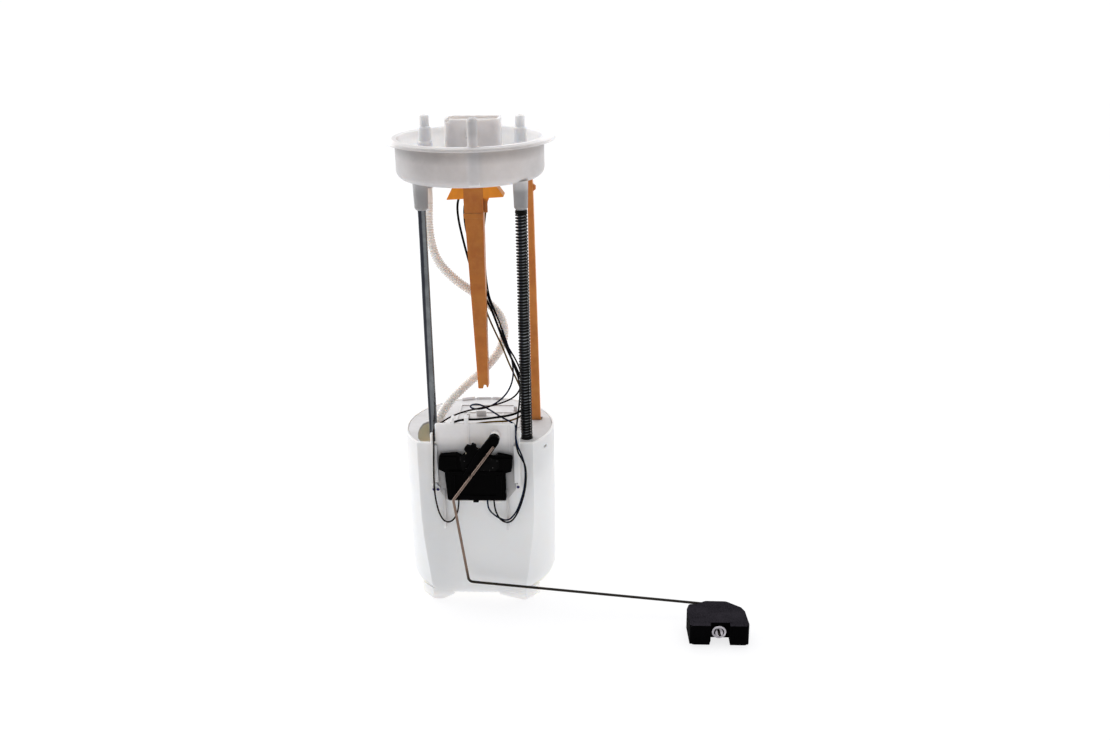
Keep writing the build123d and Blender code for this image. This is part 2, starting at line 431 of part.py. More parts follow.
OX, OY = 5.0, 17.0       # pump outlet
cover = cyl(PX, PY, 104.0, 120.0, 17.35) + cyl(PX, PY, 119.5, 128.0, 15.8) + turned([(0, 127), (4.0, 127), (4.0, 134), (4.0, 140.2), (3.4, 141.0), (0, 141.0)], OX, OY)
cover += Pos(PX, PY, 0) * (block(7.4, 17.0, -3.6, 3.6, 90.0, 105.0) + block(-17.0, -7.4, -3.6, 3.6, 90.0, 105.0))
cover -= Pos(PX, PY, 0) * (block(7.0, 16.0, -2.05, 2.05, 92.95, 97.05) + block(-16.0, -7.0, -2.05, 2.05, 92.95, 97.05))
cover -= cyl(PX, PY, 100, 110.0, 4.0) + cyl(PX, PY, 109, 114.5, 2.0)
cover -= cyl(OX, OY, 100, 145, 2.1) + cyl(OX, OY, 112.0, 127.0, 3.2)
cover -= block(-8.0, 2.0, 1.4, 2.2, 119.0, 130.0)
keep("pump_outlet_cover", cover)

mags = (tube(PX, PY, 50.0, 88.0, 17.35, 12.3)) & (sector(PX, PY, 40, 25, 155, 40, 95) + sector(PX, PY, 40, 205, 335, 40, 95))
keep("pump_magnets", mags, 2)
keep("pump_bushings", tube(PX, PY, 38.6, 45.4, 3.98, BUSH_R) + tube(PX, PY, 104.2, 109.9, 3.98, BUSH_R), 2)
keep("carbon_brushes", Pos(PX, PY, 0) * (block(6.15, 11.5, -2.0, 2.0, 93.0, 97.0) + block(-11.5, -6.15, -2.0, 2.0, 93.0, 97.0)), 2)
bs = (xcyl(PY, 95.0, PX + 11.5, PX + 16.0, 1.7) - xcyl(PY, 95.0, PX + 11.0, PX + 17.0, 1.1)) + (xcyl(PY, 95.0, PX - 16.0, PX - 11.5, 1.7) - xcyl(PY, 95.0, PX - 17.0, PX - 11.0, 1.1))
keep("brush_springs", bs, 2)

shaft = cyl(PX, PY, 31.0, 114.0, SHAFT_R)
keep("motor_shaft", shaft)
arm = tube(PX, PY, 54.0, 84.0, 11.7, SHAFT_R) + tube(PX, PY, 49.5, 88.5, 8.6, SHAFT_R)
for k in range(8):
    arm -= Pos(PX, PY, 0) * Rot(0, 0, 45 * k) * (block(7.5, 13.0, -0.8, 0.8, 54.0, 84.0))
keep("armature", arm)
com = tube(PX, PY, 89.5, 99.5, 6.0, SHAFT_R)
for k in range(8):
    com -= Pos(PX, PY, 0) * Rot(0, 0, 22.5 + 45 * k) * block(4.8, 7.0, -0.2, 0.2, 91.0, 99.6)
keep("commutator", com)
imp = tube(PX, PY, 34.15, 37.85, 15.5, SHAFT_R)
for k in range(18):
    imp -= Pos(PX, PY, 0) * Rot(0, 0, 20 * k) * block(12.4, 16.0, -0.9, 0.9, 33.0, 39.0)
keep("impeller", imp)

valve = cyl(OX, OY, 112.05, 113.8, 2.95) + cyl(OX, OY, 113.5, 119.0, 1.1)
keep("check_valve", valve)
keep("check_valve_spring", tube(OX, OY, 113.8, 127.0, 2.6, 1.5))

plug = block(-9.0, 3.0, 0.0, 8.0, 129.0, 143.0) + block(-10.2, 4.2, 1.2, 6.8, 131.0, 133.0)
plug += block(-5.5, -0.5, -1.0, 0.5, 139.5, 142.5)
plug -= block(-8.0, 2.0, 1.4, 2.2, 128.0, 134.0)
blades = block(-7.6, -4.6, 1.4, 2.2, 119.0, 134.0) + block(-1.4, 1.6, 1.4, 2.2, 119.0, 134.0)
keep("pump_plug", plug)
keep("pump_terminals", blades, 2)

iso = tube(PX, PY, 78.0, 112.0, 21.55, 19.05) + tube(PX, PY, 112.0, 114.5, 23.4, 19.05)
keep("pump_isolator", iso)
hold = tube(PX, PY, 76.0, 112.0, 23.8, 21.6) + tube(PX, PY, 75.6, 78.0, 23.8, 19.9)
for a0 in (196, 282, 92):
    hold += tube(PX, PY, 100.0, LID_LOW, 26.4, 23.6) & sector(PX, PY, 60, a0, a0 + 18, 90, 180)
keep("pump_holder", hold)

sock_pad = plate_xy([(-14.0, -8.0, 8), (30.0, -8.0, 8), (34.0, 10.0, 6), (28.0, 27.0, 8), (-14.0, 27.0, 8)], 10.2, 17.0)
sock_pad += tube(PX + 8, PY, 16.5, 25.5, 7.2, 5.55)
keep("inlet_strainer", sock_pad)

# ------------------------------------------------------------------ outlet plumbing inside the reservoir
TX, TY = -44.0, -7.0      # tower under the hose
RGX, RGY = -31.0, 17.0    # regulator
man = cyl(OX, OY, 129.0, 144.0, 6.4) + block(TX - 3.6, OX, OY - 3.8, OY + 3.8, 134.4, 142.4) + block(TX - 3.6, TX + 3.6, TY, OY + 3.8, 134.4, 142.4)
man += turned([(0, 133.0), (6.25, 133.0, 1), (6.25, 150.0, 0.8), (0, 150.0)], TX, TY) + cyl(RGX, RGY, 129.5, 136.0, 8.6)
man -= cyl(OX, OY, 128, 141.6, 4.05)
man -= xcyl(OY, 138.4, TX, OX, 2.3) + ycyl(TX, 138.4, TY, OY, 2.3)
man -= cyl(TX, TY, 137.0, 152, 2.5) + cyl(RGX, RGY, 129, 138.4, 2.3) + cyl(RGX, RGY, 128, 132.5, 6.6)
keep("outlet_manifold", man)
reg = turned([(0, 108.0), (9.0, 108.0, 1.5), (9.0, 121.0, 1.0), (10.4, 121.6, 0.6), (10.4, 124.6, 0.6), (9.0, 125.2), (9.0, 129.45), (6.2, 129.5), (6.2, 132.2), (0, 132.2)], RGX, RGY)
reg += cyl(RGX, RGY, 103.0, 109.0, 3.0)
reg -= cyl(RGX, RGY, 100, 112, 1.6) + cyl(RGX, RGY, 126, 134, 1.8)
keep("pressure_regulator", reg)
jet = block(-36.0, -26.0, 4.0, 46.0, 9.4, 20.0) + cyl(RGX, RGY, 19.0, 103.0, 4.2)
jet -= ycyl(RGX, 14.7, 26.0, 48.0, 3.0) + ycyl(RGX, 14.7, 3.0, 26.5, 3.6) + cyl(RGX, RGY, 96.0, 104.0, 3.05) + cyl(RGX, RGY, 14.7, 104.0, 1.8)
keep("jet_pump", jet)
noz = ycyl(RGX, 14.7, 4.0, 24.0, 3.58) - ycyl(RGX, 14.7, 12.0, 30.0, 0.9) - cyl(RGX, RGY, 14.0, 20.0, 1.6)
keep("jet_nozzle", noz)

iv = turned([(0, 9.45), (8.6, 9.45), (8.6, 10.2), (3.0, 11.4), (0, 11.4)], VX, VY) + cyl(VX, VY, 5.4, 10.0, 1.5) + turned([(0, 4.0), (1.4, 4.0), (2.3, 5.5), (0, 5.5)], VX, VY)
keep("inlet_valve", iv)


# ------------------------------------------------------------------ hose and wires
def cord(name, pts, r, ri=0.0):
    pts = [Vector(*p) for p in pts]
    radii, runs = [], [(b - a).length for a, b in zip(pts, pts[1:])]
    for i in range(1, len(pts) - 1):
        ang = radians((pts[i] - pts[i - 1]).get_angle(pts[i + 1] - pts[i]))
        radii.append(0.45 * min(runs[i - 1], runs[i]) / tan(ang / 2))
    path = FilletPolyline(*pts, radius=radii)
    plane = Plane(origin=pts[0], z_dir=pts[1] - pts[0])
    solid = sweep(plane * Circle(r), path=path)
    length = path.length
    want = pi * r * r * length
    if ri:
        solid = solid - sweep(plane * Circle(ri), path=path)
        want -= pi * ri * ri * length
    got = solid.volume
    print("%s: length %.1f, radii %s, volume %.1f of %.1f" % (name, length, " ".join("%.1f" % q for q in radii), got, want))
    keep(name, solid)


HOSE = [
    (-42.0, 8.0, 408.0), (-42.0, 8.0, 392.9), (-43.4, 7.0, 365.8), (-37.6, 6.2, 337.2), (-18.1, 5.9, 316.3),
    (5.9, 6.0, 300.7), (26.6, 6.1, 280.0), (25.8, 5.7, 251.2), (7.5, 5.1, 228.2), (-14.1, 2.7, 210.2),
    (-33.9, -4.8, 191.5), (-44.0, -7.0, 168.0), (-44.0, -7.0, 150.0),
]
WIRE_GROUND = [
    (-11.0, 24.0, 411.0), (-11.0, 24.0, 402.8), (-16.0, 17.0, 391.5), (-14.2, 7.4, 377.5), (-9.4, -1.2, 360.5),
    (-5.1, -3.6, 342.9), (-0.8, -3.6, 326.4), (6.3, -4.4, 310.9), (14.3, -5.1, 295.9), (20.4, -6.9, 280.1),
    (25.8, -8.9, 264.0), (32.5, -11.7, 248.6), (40.2, -16.0, 234.2), (46.3, -18.8, 218.1), (48.3, -26.2, 197.9),
    (37.6, -34.8, 194.4), (21.0, -43.9, 195.1), (4.5, -46.9, 194.2), (-13.5, -46.5, 194.1), (-27.7, -45.0, 186.5),
    (-27.4, -43.1, 168.7), (-19.7, -36.4, 154.5), (-10.5, -22.4, 142.6), (-5.0, -9.5, 137.0), (-5.0, 0.0, 137.0),
]
WIRE_SUPPLY = [
    (14.0, 24.0, 411.0), (14.0, 24.0, 402.2), (12.3, 13.1, 387.7), (10.5, 6.8, 371.0), (8.1, 2.8, 354.3),
    (5.9, 0.4, 337.2), (5.2, -0.8, 319.8), (7.1, -1.4, 302.3), (11.4, -1.1, 285.4), (17.8, -1.6, 269.1),
    (25.2, -3.2, 253.2), (31.3, -6.6, 237.2), (39.0, -11.6, 222.4), (46.5, -17.2, 206.8), (47.5, -27.2, 192.0),
    (35.4, -39.6, 189.7), (18.7, -45.5, 191.6), (1.3, -45.2, 189.5), (-15.8, -44.6, 183.0), (-24.1, -42.8, 168.5),
    (-16.1, -36.6, 153.6), (-4.6, -23.7, 141.9), (-1.0, -10.0, 137.0), (-1.0, 0.0, 137.0),
]
WIRE_SENDER_A = [
    (-5.0, 24.0, 411.0), (-5.0, 24.0, 402.1), (-9.4, 13.2, 388.5), (-8.0, 6.2, 371.4), (-3.4, 1.8, 354.1),
    (3.3, -1.2, 337.0), (6.3, -2.6, 319.7), (10.4, -2.7, 302.7), (17.2, -3.7, 286.6), (23.6, -4.7, 270.1),
    (30.8, -6.3, 254.2), (40.3, -12.3, 240.4), (46.7, -19.6, 224.9), (40.0, -24.7, 209.5), (23.5, -28.6, 203.1),
    (6.1, -32.6, 200.5), (-10.7, -38.3, 199.0), (-25.4, -42.8, 194.1), (-34.4, -43.8, 187.6), (-39.5, -48.2, 184.9),
    (-38.4, -54.2, 177.6), (-38.8, -55.4, 166.5), (-39.8, -54.5, 150.3), (-40.6, -54.2, 132.9), (-40.4, -53.8, 115.3),
    (-37.4, -53.1, 96.5), (-31.9, -53.2, 86.9), (-24.1, -53.5, 88.5), (-18.9, -54.1, 98.0), (-17.0, -54.0, 109.0),
    (-17.0, -54.0, 118.0),
]
WIRE_SENDER_B = [
    (1.5, 24.0, 411.0), (1.5, 24.0, 402.4), (1.7, 16.2, 394.1), (2.2, 10.8, 382.4), (3.3, 6.6, 370.5),
    (4.6, 3.0, 358.5), (6.2, -0.2, 346.3), (7.8, -2.4, 334.1), (9.5, -3.8, 321.6), (11.6, -4.8, 309.2),
    (15.6, -5.9, 297.3), (21.0, -6.7, 285.8), (25.5, -7.7, 273.9), (29.4, -8.8, 262.0), (33.1, -9.7, 249.9),
    (35.7, -10.9, 237.5), (36.0, -12.1, 224.8), (32.1, -13.9, 212.6), (24.3, -17.7, 203.5), (13.9, -24.3, 198.7),
    (2.8, -29.3, 197.3), (-5.5, -27.7, 198.5), (-5.9, -20.7, 198.9), (2.4, -18.8, 199.4), (15.0, -28.9, 196.2),
    (24.5, -37.3, 193.4), (33.5, -43.4, 191.6), (40.2, -45.8, 188.1), (40.4, -51.9, 183.8), (40.9, -56.5, 176.3),
    (43.7, -57.0, 167.3), (46.6, -56.4, 160.2), (49.0, -55.5, 147.7), (48.7, -54.6, 134.9), (46.8, -53.9, 122.4),
    (43.3, -53.5, 110.1), (38.4, -53.0, 97.5), (30.0, -52.5, 88.2), (19.2, -53.1, 93.5), (12.0, -53.8, 101.5),
    (11.0, -54.0, 109.0), (11.0, -54.0, 118.0),
]
WIRE_SENDER_C = [
    (8.0, 24.0, 411.0), (8.0, 24.0, 402.2), (7.8, 13.7, 387.8), (8.2, 8.7, 370.7), (9.4, 4.6, 354.0),
    (10.7, 0.6, 337.2), (11.7, -2.3, 319.9), (14.6, -7.1, 303.4), (21.2, -8.9, 287.6), (26.5, -10.6, 271.2),
    (31.2, -12.6, 254.6), (37.0, -16.6, 238.8), (43.3, -22.5, 223.6), (43.4, -30.9, 208.7), (41.3, -39.4, 192.3),
    (40.1, -45.7, 180.4), (40.3, -53.6, 175.9), (42.0, -57.7, 165.8), (46.6, -58.1, 157.5), (50.0, -57.6, 149.6),
    (49.7, -56.2, 132.2), (46.4, -55.8, 115.3), (39.9, -55.5, 97.5), (32.9, -55.1, 88.1), (24.4, -54.9, 89.5),
    (19.0, -54.3, 98.5), (17.4, -54.0, 109.0), (17.4, -54.0, 118.0),
]
cord("fuel_hose", HOSE, HOSE_R, HOSE_RI)
cord("wire_ground", WIRE_GROUND, GROUND_R)
cord("wire_supply", WIRE_SUPPLY, SUPPLY_R)
cord("wire_sender_a", WIRE_SENDER_A, SENDER_R)
cord("wire_sender_b", WIRE_SENDER_B, SENDER_R)
cord("wire_sender_c", WIRE_SENDER_C, SENDER_R)

for name, shape in nodes.items():
    export_step(shape, "parts/%s.step" % name)
print(len(nodes), "nodes")
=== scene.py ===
import math

import bmesh
import bpy
import numpy as np
from mathutils import Matrix, Vector


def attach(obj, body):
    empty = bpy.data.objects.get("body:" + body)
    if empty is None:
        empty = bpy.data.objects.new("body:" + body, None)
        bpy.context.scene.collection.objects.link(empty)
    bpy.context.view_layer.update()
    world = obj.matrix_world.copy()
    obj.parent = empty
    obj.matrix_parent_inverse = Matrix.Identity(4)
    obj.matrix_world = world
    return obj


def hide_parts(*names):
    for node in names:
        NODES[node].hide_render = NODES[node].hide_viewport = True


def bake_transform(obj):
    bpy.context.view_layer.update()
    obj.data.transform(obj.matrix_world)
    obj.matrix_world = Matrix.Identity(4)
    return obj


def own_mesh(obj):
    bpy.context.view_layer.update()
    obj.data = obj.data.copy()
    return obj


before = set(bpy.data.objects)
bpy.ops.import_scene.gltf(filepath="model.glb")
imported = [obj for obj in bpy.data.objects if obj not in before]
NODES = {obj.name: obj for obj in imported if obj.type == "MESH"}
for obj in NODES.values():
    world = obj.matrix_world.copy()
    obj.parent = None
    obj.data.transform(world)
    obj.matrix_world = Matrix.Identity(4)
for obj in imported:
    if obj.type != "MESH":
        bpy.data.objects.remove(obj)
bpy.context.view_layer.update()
scene = bpy.context.scene
MM = 0.001


# ---------------------------------------------------------------- material nodes
class Mat:
    """A Principled material with short calls for its procedural parts."""

    def __init__(self, name):
        self.m = bpy.data.materials.new(name)
        self.m.use_nodes = True
        self.t = self.m.node_tree
        self.t.nodes.clear()
        out = self.t.nodes.new("ShaderNodeOutputMaterial")
        self.b = self.t.nodes.new("ShaderNodeBsdfPrincipled")
        self.t.links.new(self.b.outputs[0], out.inputs[0])
        self.co = self.t.nodes.new("ShaderNodeTexCoord").outputs["Object"]
        self.last_bump = None

    def put(self, **sockets):
        for k, v in sockets.items():
            self.b.inputs[k.replace("_", " ")].default_value = v

    def link(self, a, b):
        self.t.links.new(a, b)

    def mapped(self, scale=(1, 1, 1), turn=(0, 0, 0)):
        n = self.t.nodes.new("ShaderNodeMapping")
        n.inputs["Scale"].default_value = scale
        n.inputs["Rotation"].default_value = turn
        self.link(self.co, n.inputs["Vector"])
        return n.outputs[0]

    def noise(self, scale, detail=4, rough=0.55, co=None, distort=0.0):
        n = self.t.nodes.new("ShaderNodeTexNoise")
        n.inputs["Scale"].default_value = scale
        n.inputs["Detail"].default_value = detail
        n.inputs["Roughness"].default_value = rough
        n.inputs["Distortion"].default_value = distort
        self.link(co or self.co, n.inputs["Vector"])
        return n.outputs["Fac"]

    def voronoi(self, scale, feature="F1", co=None, out="Distance"):
        n = self.t.nodes.new("ShaderNodeTexVoronoi")
        n.feature = feature
        n.inputs["Scale"].default_value = scale
        self.link(co or self.co, n.inputs["Vector"])
        return n.outputs[out]

    def wave(self, scale, distort=2.0, detail=2, direction="X", co=None):
        n = self.t.nodes.new("ShaderNodeTexWave")
        n.bands_direction = direction
        n.inputs["Scale"].default_value = scale
        n.inputs["Distortion"].default_value = distort
        n.inputs["Detail"].default_value = detail
        self.link(co or self.co, n.inputs["Vector"])
        return n.outputs["Fac"]

    def ramp(self, fac, stops, interp="LINEAR"):
        n = self.t.nodes.new("ShaderNodeValToRGB")
        n.color_ramp.interpolation = interp
        e = n.color_ramp.elements
        while len(e) < len(stops):
            e.new(0.5)
        for i, (p, c) in enumerate(stops):
            e[i].position = p
            e[i].color = (*c, 1) if len(c) == 3 else c
        self.link(fac, n.inputs[0])
        return n.outputs["Color"]

    def span(self, fac, a, b, lo=0.3, hi=0.7):
        n = self.t.nodes.new("ShaderNodeMapRange")
        n.inputs["From Min"].default_value = lo
        n.inputs["From Max"].default_value = hi
        n.inputs["To Min"].default_value = a
        n.inputs["To Max"].default_value = b
        self.link(fac, n.inputs["Value"])
        return n.outputs[0]

    def mix(self, fac, a, b, mode="MIX"):
        n = self.t.nodes.new("ShaderNodeMix")
        n.data_type = "RGBA"
        n.blend_type = mode
        if isinstance(fac, (int, float)):
            n.inputs[0].default_value = fac
        else:
            self.link(fac, n.inputs[0])
        for s, v in ((6, a), (7, b)):
            if isinstance(v, (tuple, list)):
                n.inputs[s].default_value = (*v, 1) if len(v) == 3 else v
            else:
                self.link(v, n.inputs[s])
        return n.outputs[2]

    def math(self, op, a, b=None):
        n = self.t.nodes.new("ShaderNodeMath")
        n.operation = op
        for i, v in enumerate((a, b)):
            if v is None:
                continue
            if isinstance(v, (int, float)):
                n.inputs[i].default_value = v
            else:
                self.link(v, n.inputs[i])
        return n.outputs[0]

    def bump(self, height, distance, strength=1.0):
        n = self.t.nodes.new("ShaderNodeBump")
        n.inputs["Distance"].default_value = distance
        n.inputs["Strength"].default_value = strength
        self.link(height, n.inputs["Height"])
        if self.last_bump is not None:
            self.link(self.last_bump, n.inputs["Normal"])
        self.last_bump = n.outputs[0]
        self.link(self.last_bump, self.b.inputs["Normal"])

    def edges(self, radius=0.0006, samples=4):
        """0 on flat and smooth faces, 1 along sharp edges."""
        bv = self.t.nodes.new("ShaderNodeBevel")
        bv.samples = samples
        bv.inputs["Radius"].default_value = radius
        ge = self.t.nodes.new("ShaderNodeNewGeometry")
        d = self.t.nodes.new("ShaderNodeVectorMath")
        d.operation = "DOT_PRODUCT"
        self.link(bv.outputs[0], d.inputs[0])
        self.link(ge.outputs["Normal"], d.inputs[1])
        return self.span(d.outputs["Value"], 1.0, 0.0, 0.86, 0.995)

    def shade_by_height(self, stops):
        """Painted light and shade: a grey level that follows the height on the piece: (z in metres, level) pairs."""
        z0, z1 = stops[0][0], stops[-1][0]
        s = self.t.nodes.new("ShaderNodeSeparateXYZ")
        self.link(self.co, s.inputs[0])
        f = self.span(s.outputs["Z"], 0.0, 1.0, z0, z1)
        return self.ramp(f, [((z - z0) / (z1 - z0), (v, v, v)) for z, v in stops])

    def crevice(self, distance=0.006, samples=4):
        """1 in the open, falling to 0 in corners and grooves."""
        n = self.t.nodes.new("ShaderNodeAmbientOcclusion")
        n.samples = samples
        n.inputs["Distance"].default_value = distance
        return n.outputs["AO"]


def plastic(name, base, dark, light, rough=(0.34, 0.52), grain=1500, grain_m=0.00003, wave_m=0.00012,
            sss=0.0, sss_scale=0.004, sss_radius=(1.0, 0.9, 0.8), wear=None, corner_shade=None, spec=0.5, coat=0.0,
            flow=(1, 1, 1), scratch=0.35, height=None, flange_painted_light=None, wings=None, inner=None, tab_painted_light=None, glow=None):
    """Moulded plastic: cloudy colour, flow marks, spark grain, fine scratches, edges that have rubbed, and painted
    shade darkening the corners.
    """
    k = Mat(name)
    big = k.noise(28, 5, 0.6)
    mid = k.noise(160, 6, 0.62)
    col = k.ramp(big, [(0.30, dark), (0.52, base), (0.74, light)])
    col = k.mix(k.span(mid, 0.0, 0.35, 0.45, 0.75), col, light)
    streak = k.noise(26, 4, 0.6, co=k.mapped((1 * flow[0], 1 * flow[1], 0.16 * flow[2])))
    col = k.mix(k.span(streak, 0.0, 0.30, 0.50, 0.75), col, dark)
    fine = k.noise(520, 3, 0.6, co=k.mapped((1, 1, 0.045), (0.35, 0.22, 0)))
    fine2 = k.noise(480, 3, 0.6, co=k.mapped((0.05, 1, 1), (0, 0.5, 0.3)))
    lines = k.math("MAXIMUM", k.span(fine, 0, 1, 0.655, 0.70), k.span(fine2, 0, 1, 0.665, 0.71))
    # painted shade: the colour is darkened, patchily, in corners and grooves
    if corner_shade is not None:
        ao = k.crevice()
        shade = k.math("MULTIPLY", k.span(ao, 0.75, 0.0, 0.35, 0.95), k.span(mid, 0.55, 1.0, 0.3, 0.7))
        col = k.mix(shade, col, corner_shade)
    if wear is not None:
        e = k.math("MULTIPLY", k.edges(), k.span(mid, 0.25, 1.0, 0.38, 0.62))
        col = k.mix(e, col, wear)
    col = k.mix(k.math("MULTIPLY", lines, scratch * 0.5), col, light)
    if wings is not None:
        # the thin wings let light through and look much brighter than the post
        sep = k.t.nodes.new("ShaderNodeSeparateXYZ")
        k.link(k.co, sep.inputs[0])
        off = k.math("ABSOLUTE", k.math("SUBTRACT", sep.outputs["X"], 0.0043))
        thin = k.math("MULTIPLY", k.span(off, 0.0, 1.0, 0.0088, 0.0094), k.span(sep.outputs["Z"], 0.0, 1.0, 0.398, 0.401))
        col = k.mix(k.math("MULTIPLY", thin, k.span(mid, 0.75, 1.0, 0.3, 0.6)), col, wings)
    sep = k.t.nodes.new("ShaderNodeSeparateXYZ")
    k.link(k.co, sep.inputs[0])
    x, y, z = sep.outputs["X"], sep.outputs["Y"], sep.outputs["Z"]
    if inner is not None:
        # the inside walls and floor, yellowed by fuel
        r = k.math("SQRT", k.math("ADD", k.math("MULTIPLY", x, x), k.math("MULTIPLY", y, y)))
        wet = k.math("MULTIPLY", k.span(r, 1.0, 0.0, 0.0720, 0.0728), k.span(z, 1.0, 0.0, 0.1660, 0.1680))
        wet = k.math("MULTIPLY", wet, k.span(y, 0.0, 1.0, -0.0470, -0.0455))
        col = k.mix(k.math("MULTIPLY", wet, k.span(mid, 0.85, 1.0, 0.3, 0.6)), col, inner)
    # painted light: the tabs standing up at the back of the lid are painted lighter, so their shaded faces come out as
    # light as the lid
    if tab_painted_light is not None:
        up = k.math("MULTIPLY", k.span(y, 0.0, 1.0, 0.060, 0.062), k.span(z, 0.0, 1.0, 0.1702, 0.1706))
        col = k.mix(k.math("MULTIPLY", up, 0.9), col, tab_painted_light)
    # painted light and shade: the grey level by height, and on the flange by position, multiplies the colour
    if height is not None:
        level = k.shade_by_height(height)
        if flange_painted_light is not None:
            ry = k.math("SUBTRACT", y, 0.004)
            r = k.math("SQRT", k.math("ADD", k.math("MULTIPLY", x, x), k.math("MULTIPLY", ry, ry)))
            away = k.math("ABSOLUTE", x)
            # painted light and shade outside: brighter towards the right, evened out over the thick column of the vent
            # stem, the right boss painted darker
            level = k.mix(1.0, level, k.span(x, 0.84, 1.07, -0.055, 0.0), "MULTIPLY")
            level = k.mix(1.0, level, k.span(k.math("ABSOLUTE", k.math("SUBTRACT", x, 0.0108)), 1.11, 1.0, 0.0042, 0.0066), "MULTIPLY")
            low = k.math("MULTIPLY", k.span(x, 0.0, 0.20, 0.028, 0.034), k.span(z, 1.0, 0.0, 0.412, 0.415))
            level = k.mix(1.0, level, k.math("SUBTRACT", 1.0, low), "MULTIPLY")
            # the rim, painted shade: a soft grey along the front, nearly white on the left and at the back
            rim = k.math("MULTIPLY", k.span(r, 0.0, 1.0, 0.0708, 0.0718), k.span(z, 0.0, 1.0, 0.4490, 0.4500))
            tone = k.math("ADD", k.span(y, 0.60, 1.05, -0.050, -0.015), k.span(z, 0.0, 0.12, 0.4534, 0.4539))
            tone = k.math("MAXIMUM", tone, k.span(x, 1.15, 0.0, -0.066, -0.046))
            level = k.mix(rim, level, tone)
            # inside the bowl the full colour; the wall at the back is painted brightest, a painted glow of light coming
            # through it
            inside = k.math("MULTIPLY", k.span(r, 1.0, 0.0, 0.0668, 0.0682), k.span(z, 0.0, 1.0, 0.4225, 0.4245))
            level = k.mix(inside, level, (1.0, 1.0, 1.0))
            back = k.math("MULTIPLY", k.math("MULTIPLY", inside, k.span(r, 0.0, 1.0, 0.0585, 0.0605)), k.span(y, 0.0, 1.0, 0.0, 0.015))
            col = k.mix(back, col, (0.97, 0.965, 0.97))
            # painted light: the two side stems are painted lighter
            side_stem = k.math("MULTIPLY", k.math("MULTIPLY", k.span(away, 0.0, 0.24, 0.030, 0.033), k.span(r, 1.0, 0.0, 0.0575, 0.0585)), k.span(z, 0.0, 1.0, 0.425, 0.428))
            level = k.mix(1.0, level, k.math("ADD", 1.0, side_stem), "MULTIPLY")
            # painted shade: the middle stem at the front is painted darker just above the rim
            mid_stem = k.math("MULTIPLY", k.span(y, 0.38, 0.0, -0.0560, -0.0540), k.span(z, 0.0, 1.0, 0.4560, 0.4680))
            level = k.mix(1.0, level, k.math("SUBTRACT", 1.0, mid_stem), "MULTIPLY")
        col = k.mix(1.0, col, level, "MULTIPLY")
    k.link(col, k.b.inputs["Base Color"])
    r = k.span(k.noise(70, 6, 0.65), rough[0], rough[1], 0.3, 0.7)
    r = k.math("ADD", r, k.math("MULTIPLY", lines, 0.12))
    k.link(r, k.b.inputs["Roughness"])
    k.put(Specular_IOR_Level=spec, IOR=1.48)
    if glow is not None:
        # painted glow: emission on the pot's front and right walls stands in for daylight showing through them
        lit = k.math("MULTIPLY", k.span(x, 0.0, glow, -0.036, -0.012), k.span(z, 1.0, 0.0, 0.115, 0.150))
        k.b.inputs["Emission Color"].default_value = (1.0, 0.985, 0.985, 1)
        k.link(lit, k.b.inputs["Emission Strength"])
    if sss:
        k.put(Subsurface_Weight=sss, Subsurface_Scale=sss_scale, Subsurface_Radius=sss_radius)
    if coat:
        k.put(Coat_Weight=coat, Coat_Roughness=0.15)
    k.bump(k.noise(42, 3, 0.5), wave_m, 0.7)
    k.bump(k.noise(grain, 3, 0.6), grain_m, 0.6)
    k.bump(k.math("SUBTRACT", 0.0, lines), 0.00002, scratch)
    return k.m


def metal(name, base, dark, light, rough=(0.22, 0.42), brush=(1, 1, 0.04), brush_scale=900, brush_m=0.00002,
          stain=None, metallic=1.0, aniso=0.0, pit_m=0.00002):
    """Worked metal: drawn or turned lines, clouding, stains, small pits."""
    k = Mat(name)
    cloud = k.noise(55, 6, 0.65)
    col = k.ramp(cloud, [(0.30, dark), (0.52, base), (0.72, light)])
    lines = k.noise(brush_scale, 4, 0.7, co=k.mapped(brush))
    col = k.mix(k.span(lines, 0.0, 0.40, 0.40, 0.66), col, dark)
    if stain is not None:
        spots = k.noise(210, 7, 0.7)
        col = k.mix(k.span(spots, 0.0, 0.8, 0.57, 0.70), col, stain)
    col = k.mix(k.math("MULTIPLY", k.edges(0.0003), 0.6), col, light)
    k.link(col, k.b.inputs["Base Color"])
    r = k.math("ADD", k.span(cloud, rough[0], rough[1], 0.3, 0.7), k.span(lines, -0.06, 0.10, 0.35, 0.65))
    k.link(r, k.b.inputs["Roughness"])
    k.put(Metallic=metallic, Specular_IOR_Level=0.5)
    if aniso:
        k.put(Anisotropic=aniso)
    k.bump(lines, brush_m, 0.6)
    k.bump(k.noise(1300, 4, 0.7), pit_m, 0.5)
    return k.m


# ---------------------------------------------------------------- the materials
# painted light and shade: the flange's grey level by height darkens the bosses underneath and a band just below the rim
WHITE = plastic("acetal_flange", (0.71, 0.695, 0.705), (0.64, 0.625, 0.635), (0.78, 0.77, 0.78), rough=(0.38, 0.55),
                sss=1.0, sss_scale=0.006, wear=(0.86, 0.85, 0.85), corner_shade=(0.56, 0.54, 0.53),
                height=[(0.395, 0.50), (0.413, 0.52), (0.4215, 0.80), (0.440, 0.78), (0.4480, 0.55), (0.4515, 0.55), (0.4535, 1.0), (0.48, 1.0)],
                flange_painted_light=True)
SOCKET = plastic("acetal_socket", (0.715, 0.70, 0.71), (0.65, 0.635, 0.645), (0.78, 0.77, 0.78), rough=(0.38, 0.55),
                 sss=1.0, sss_scale=0.006, wear=(0.88, 0.87, 0.87), corner_shade=(0.58, 0.56, 0.55))
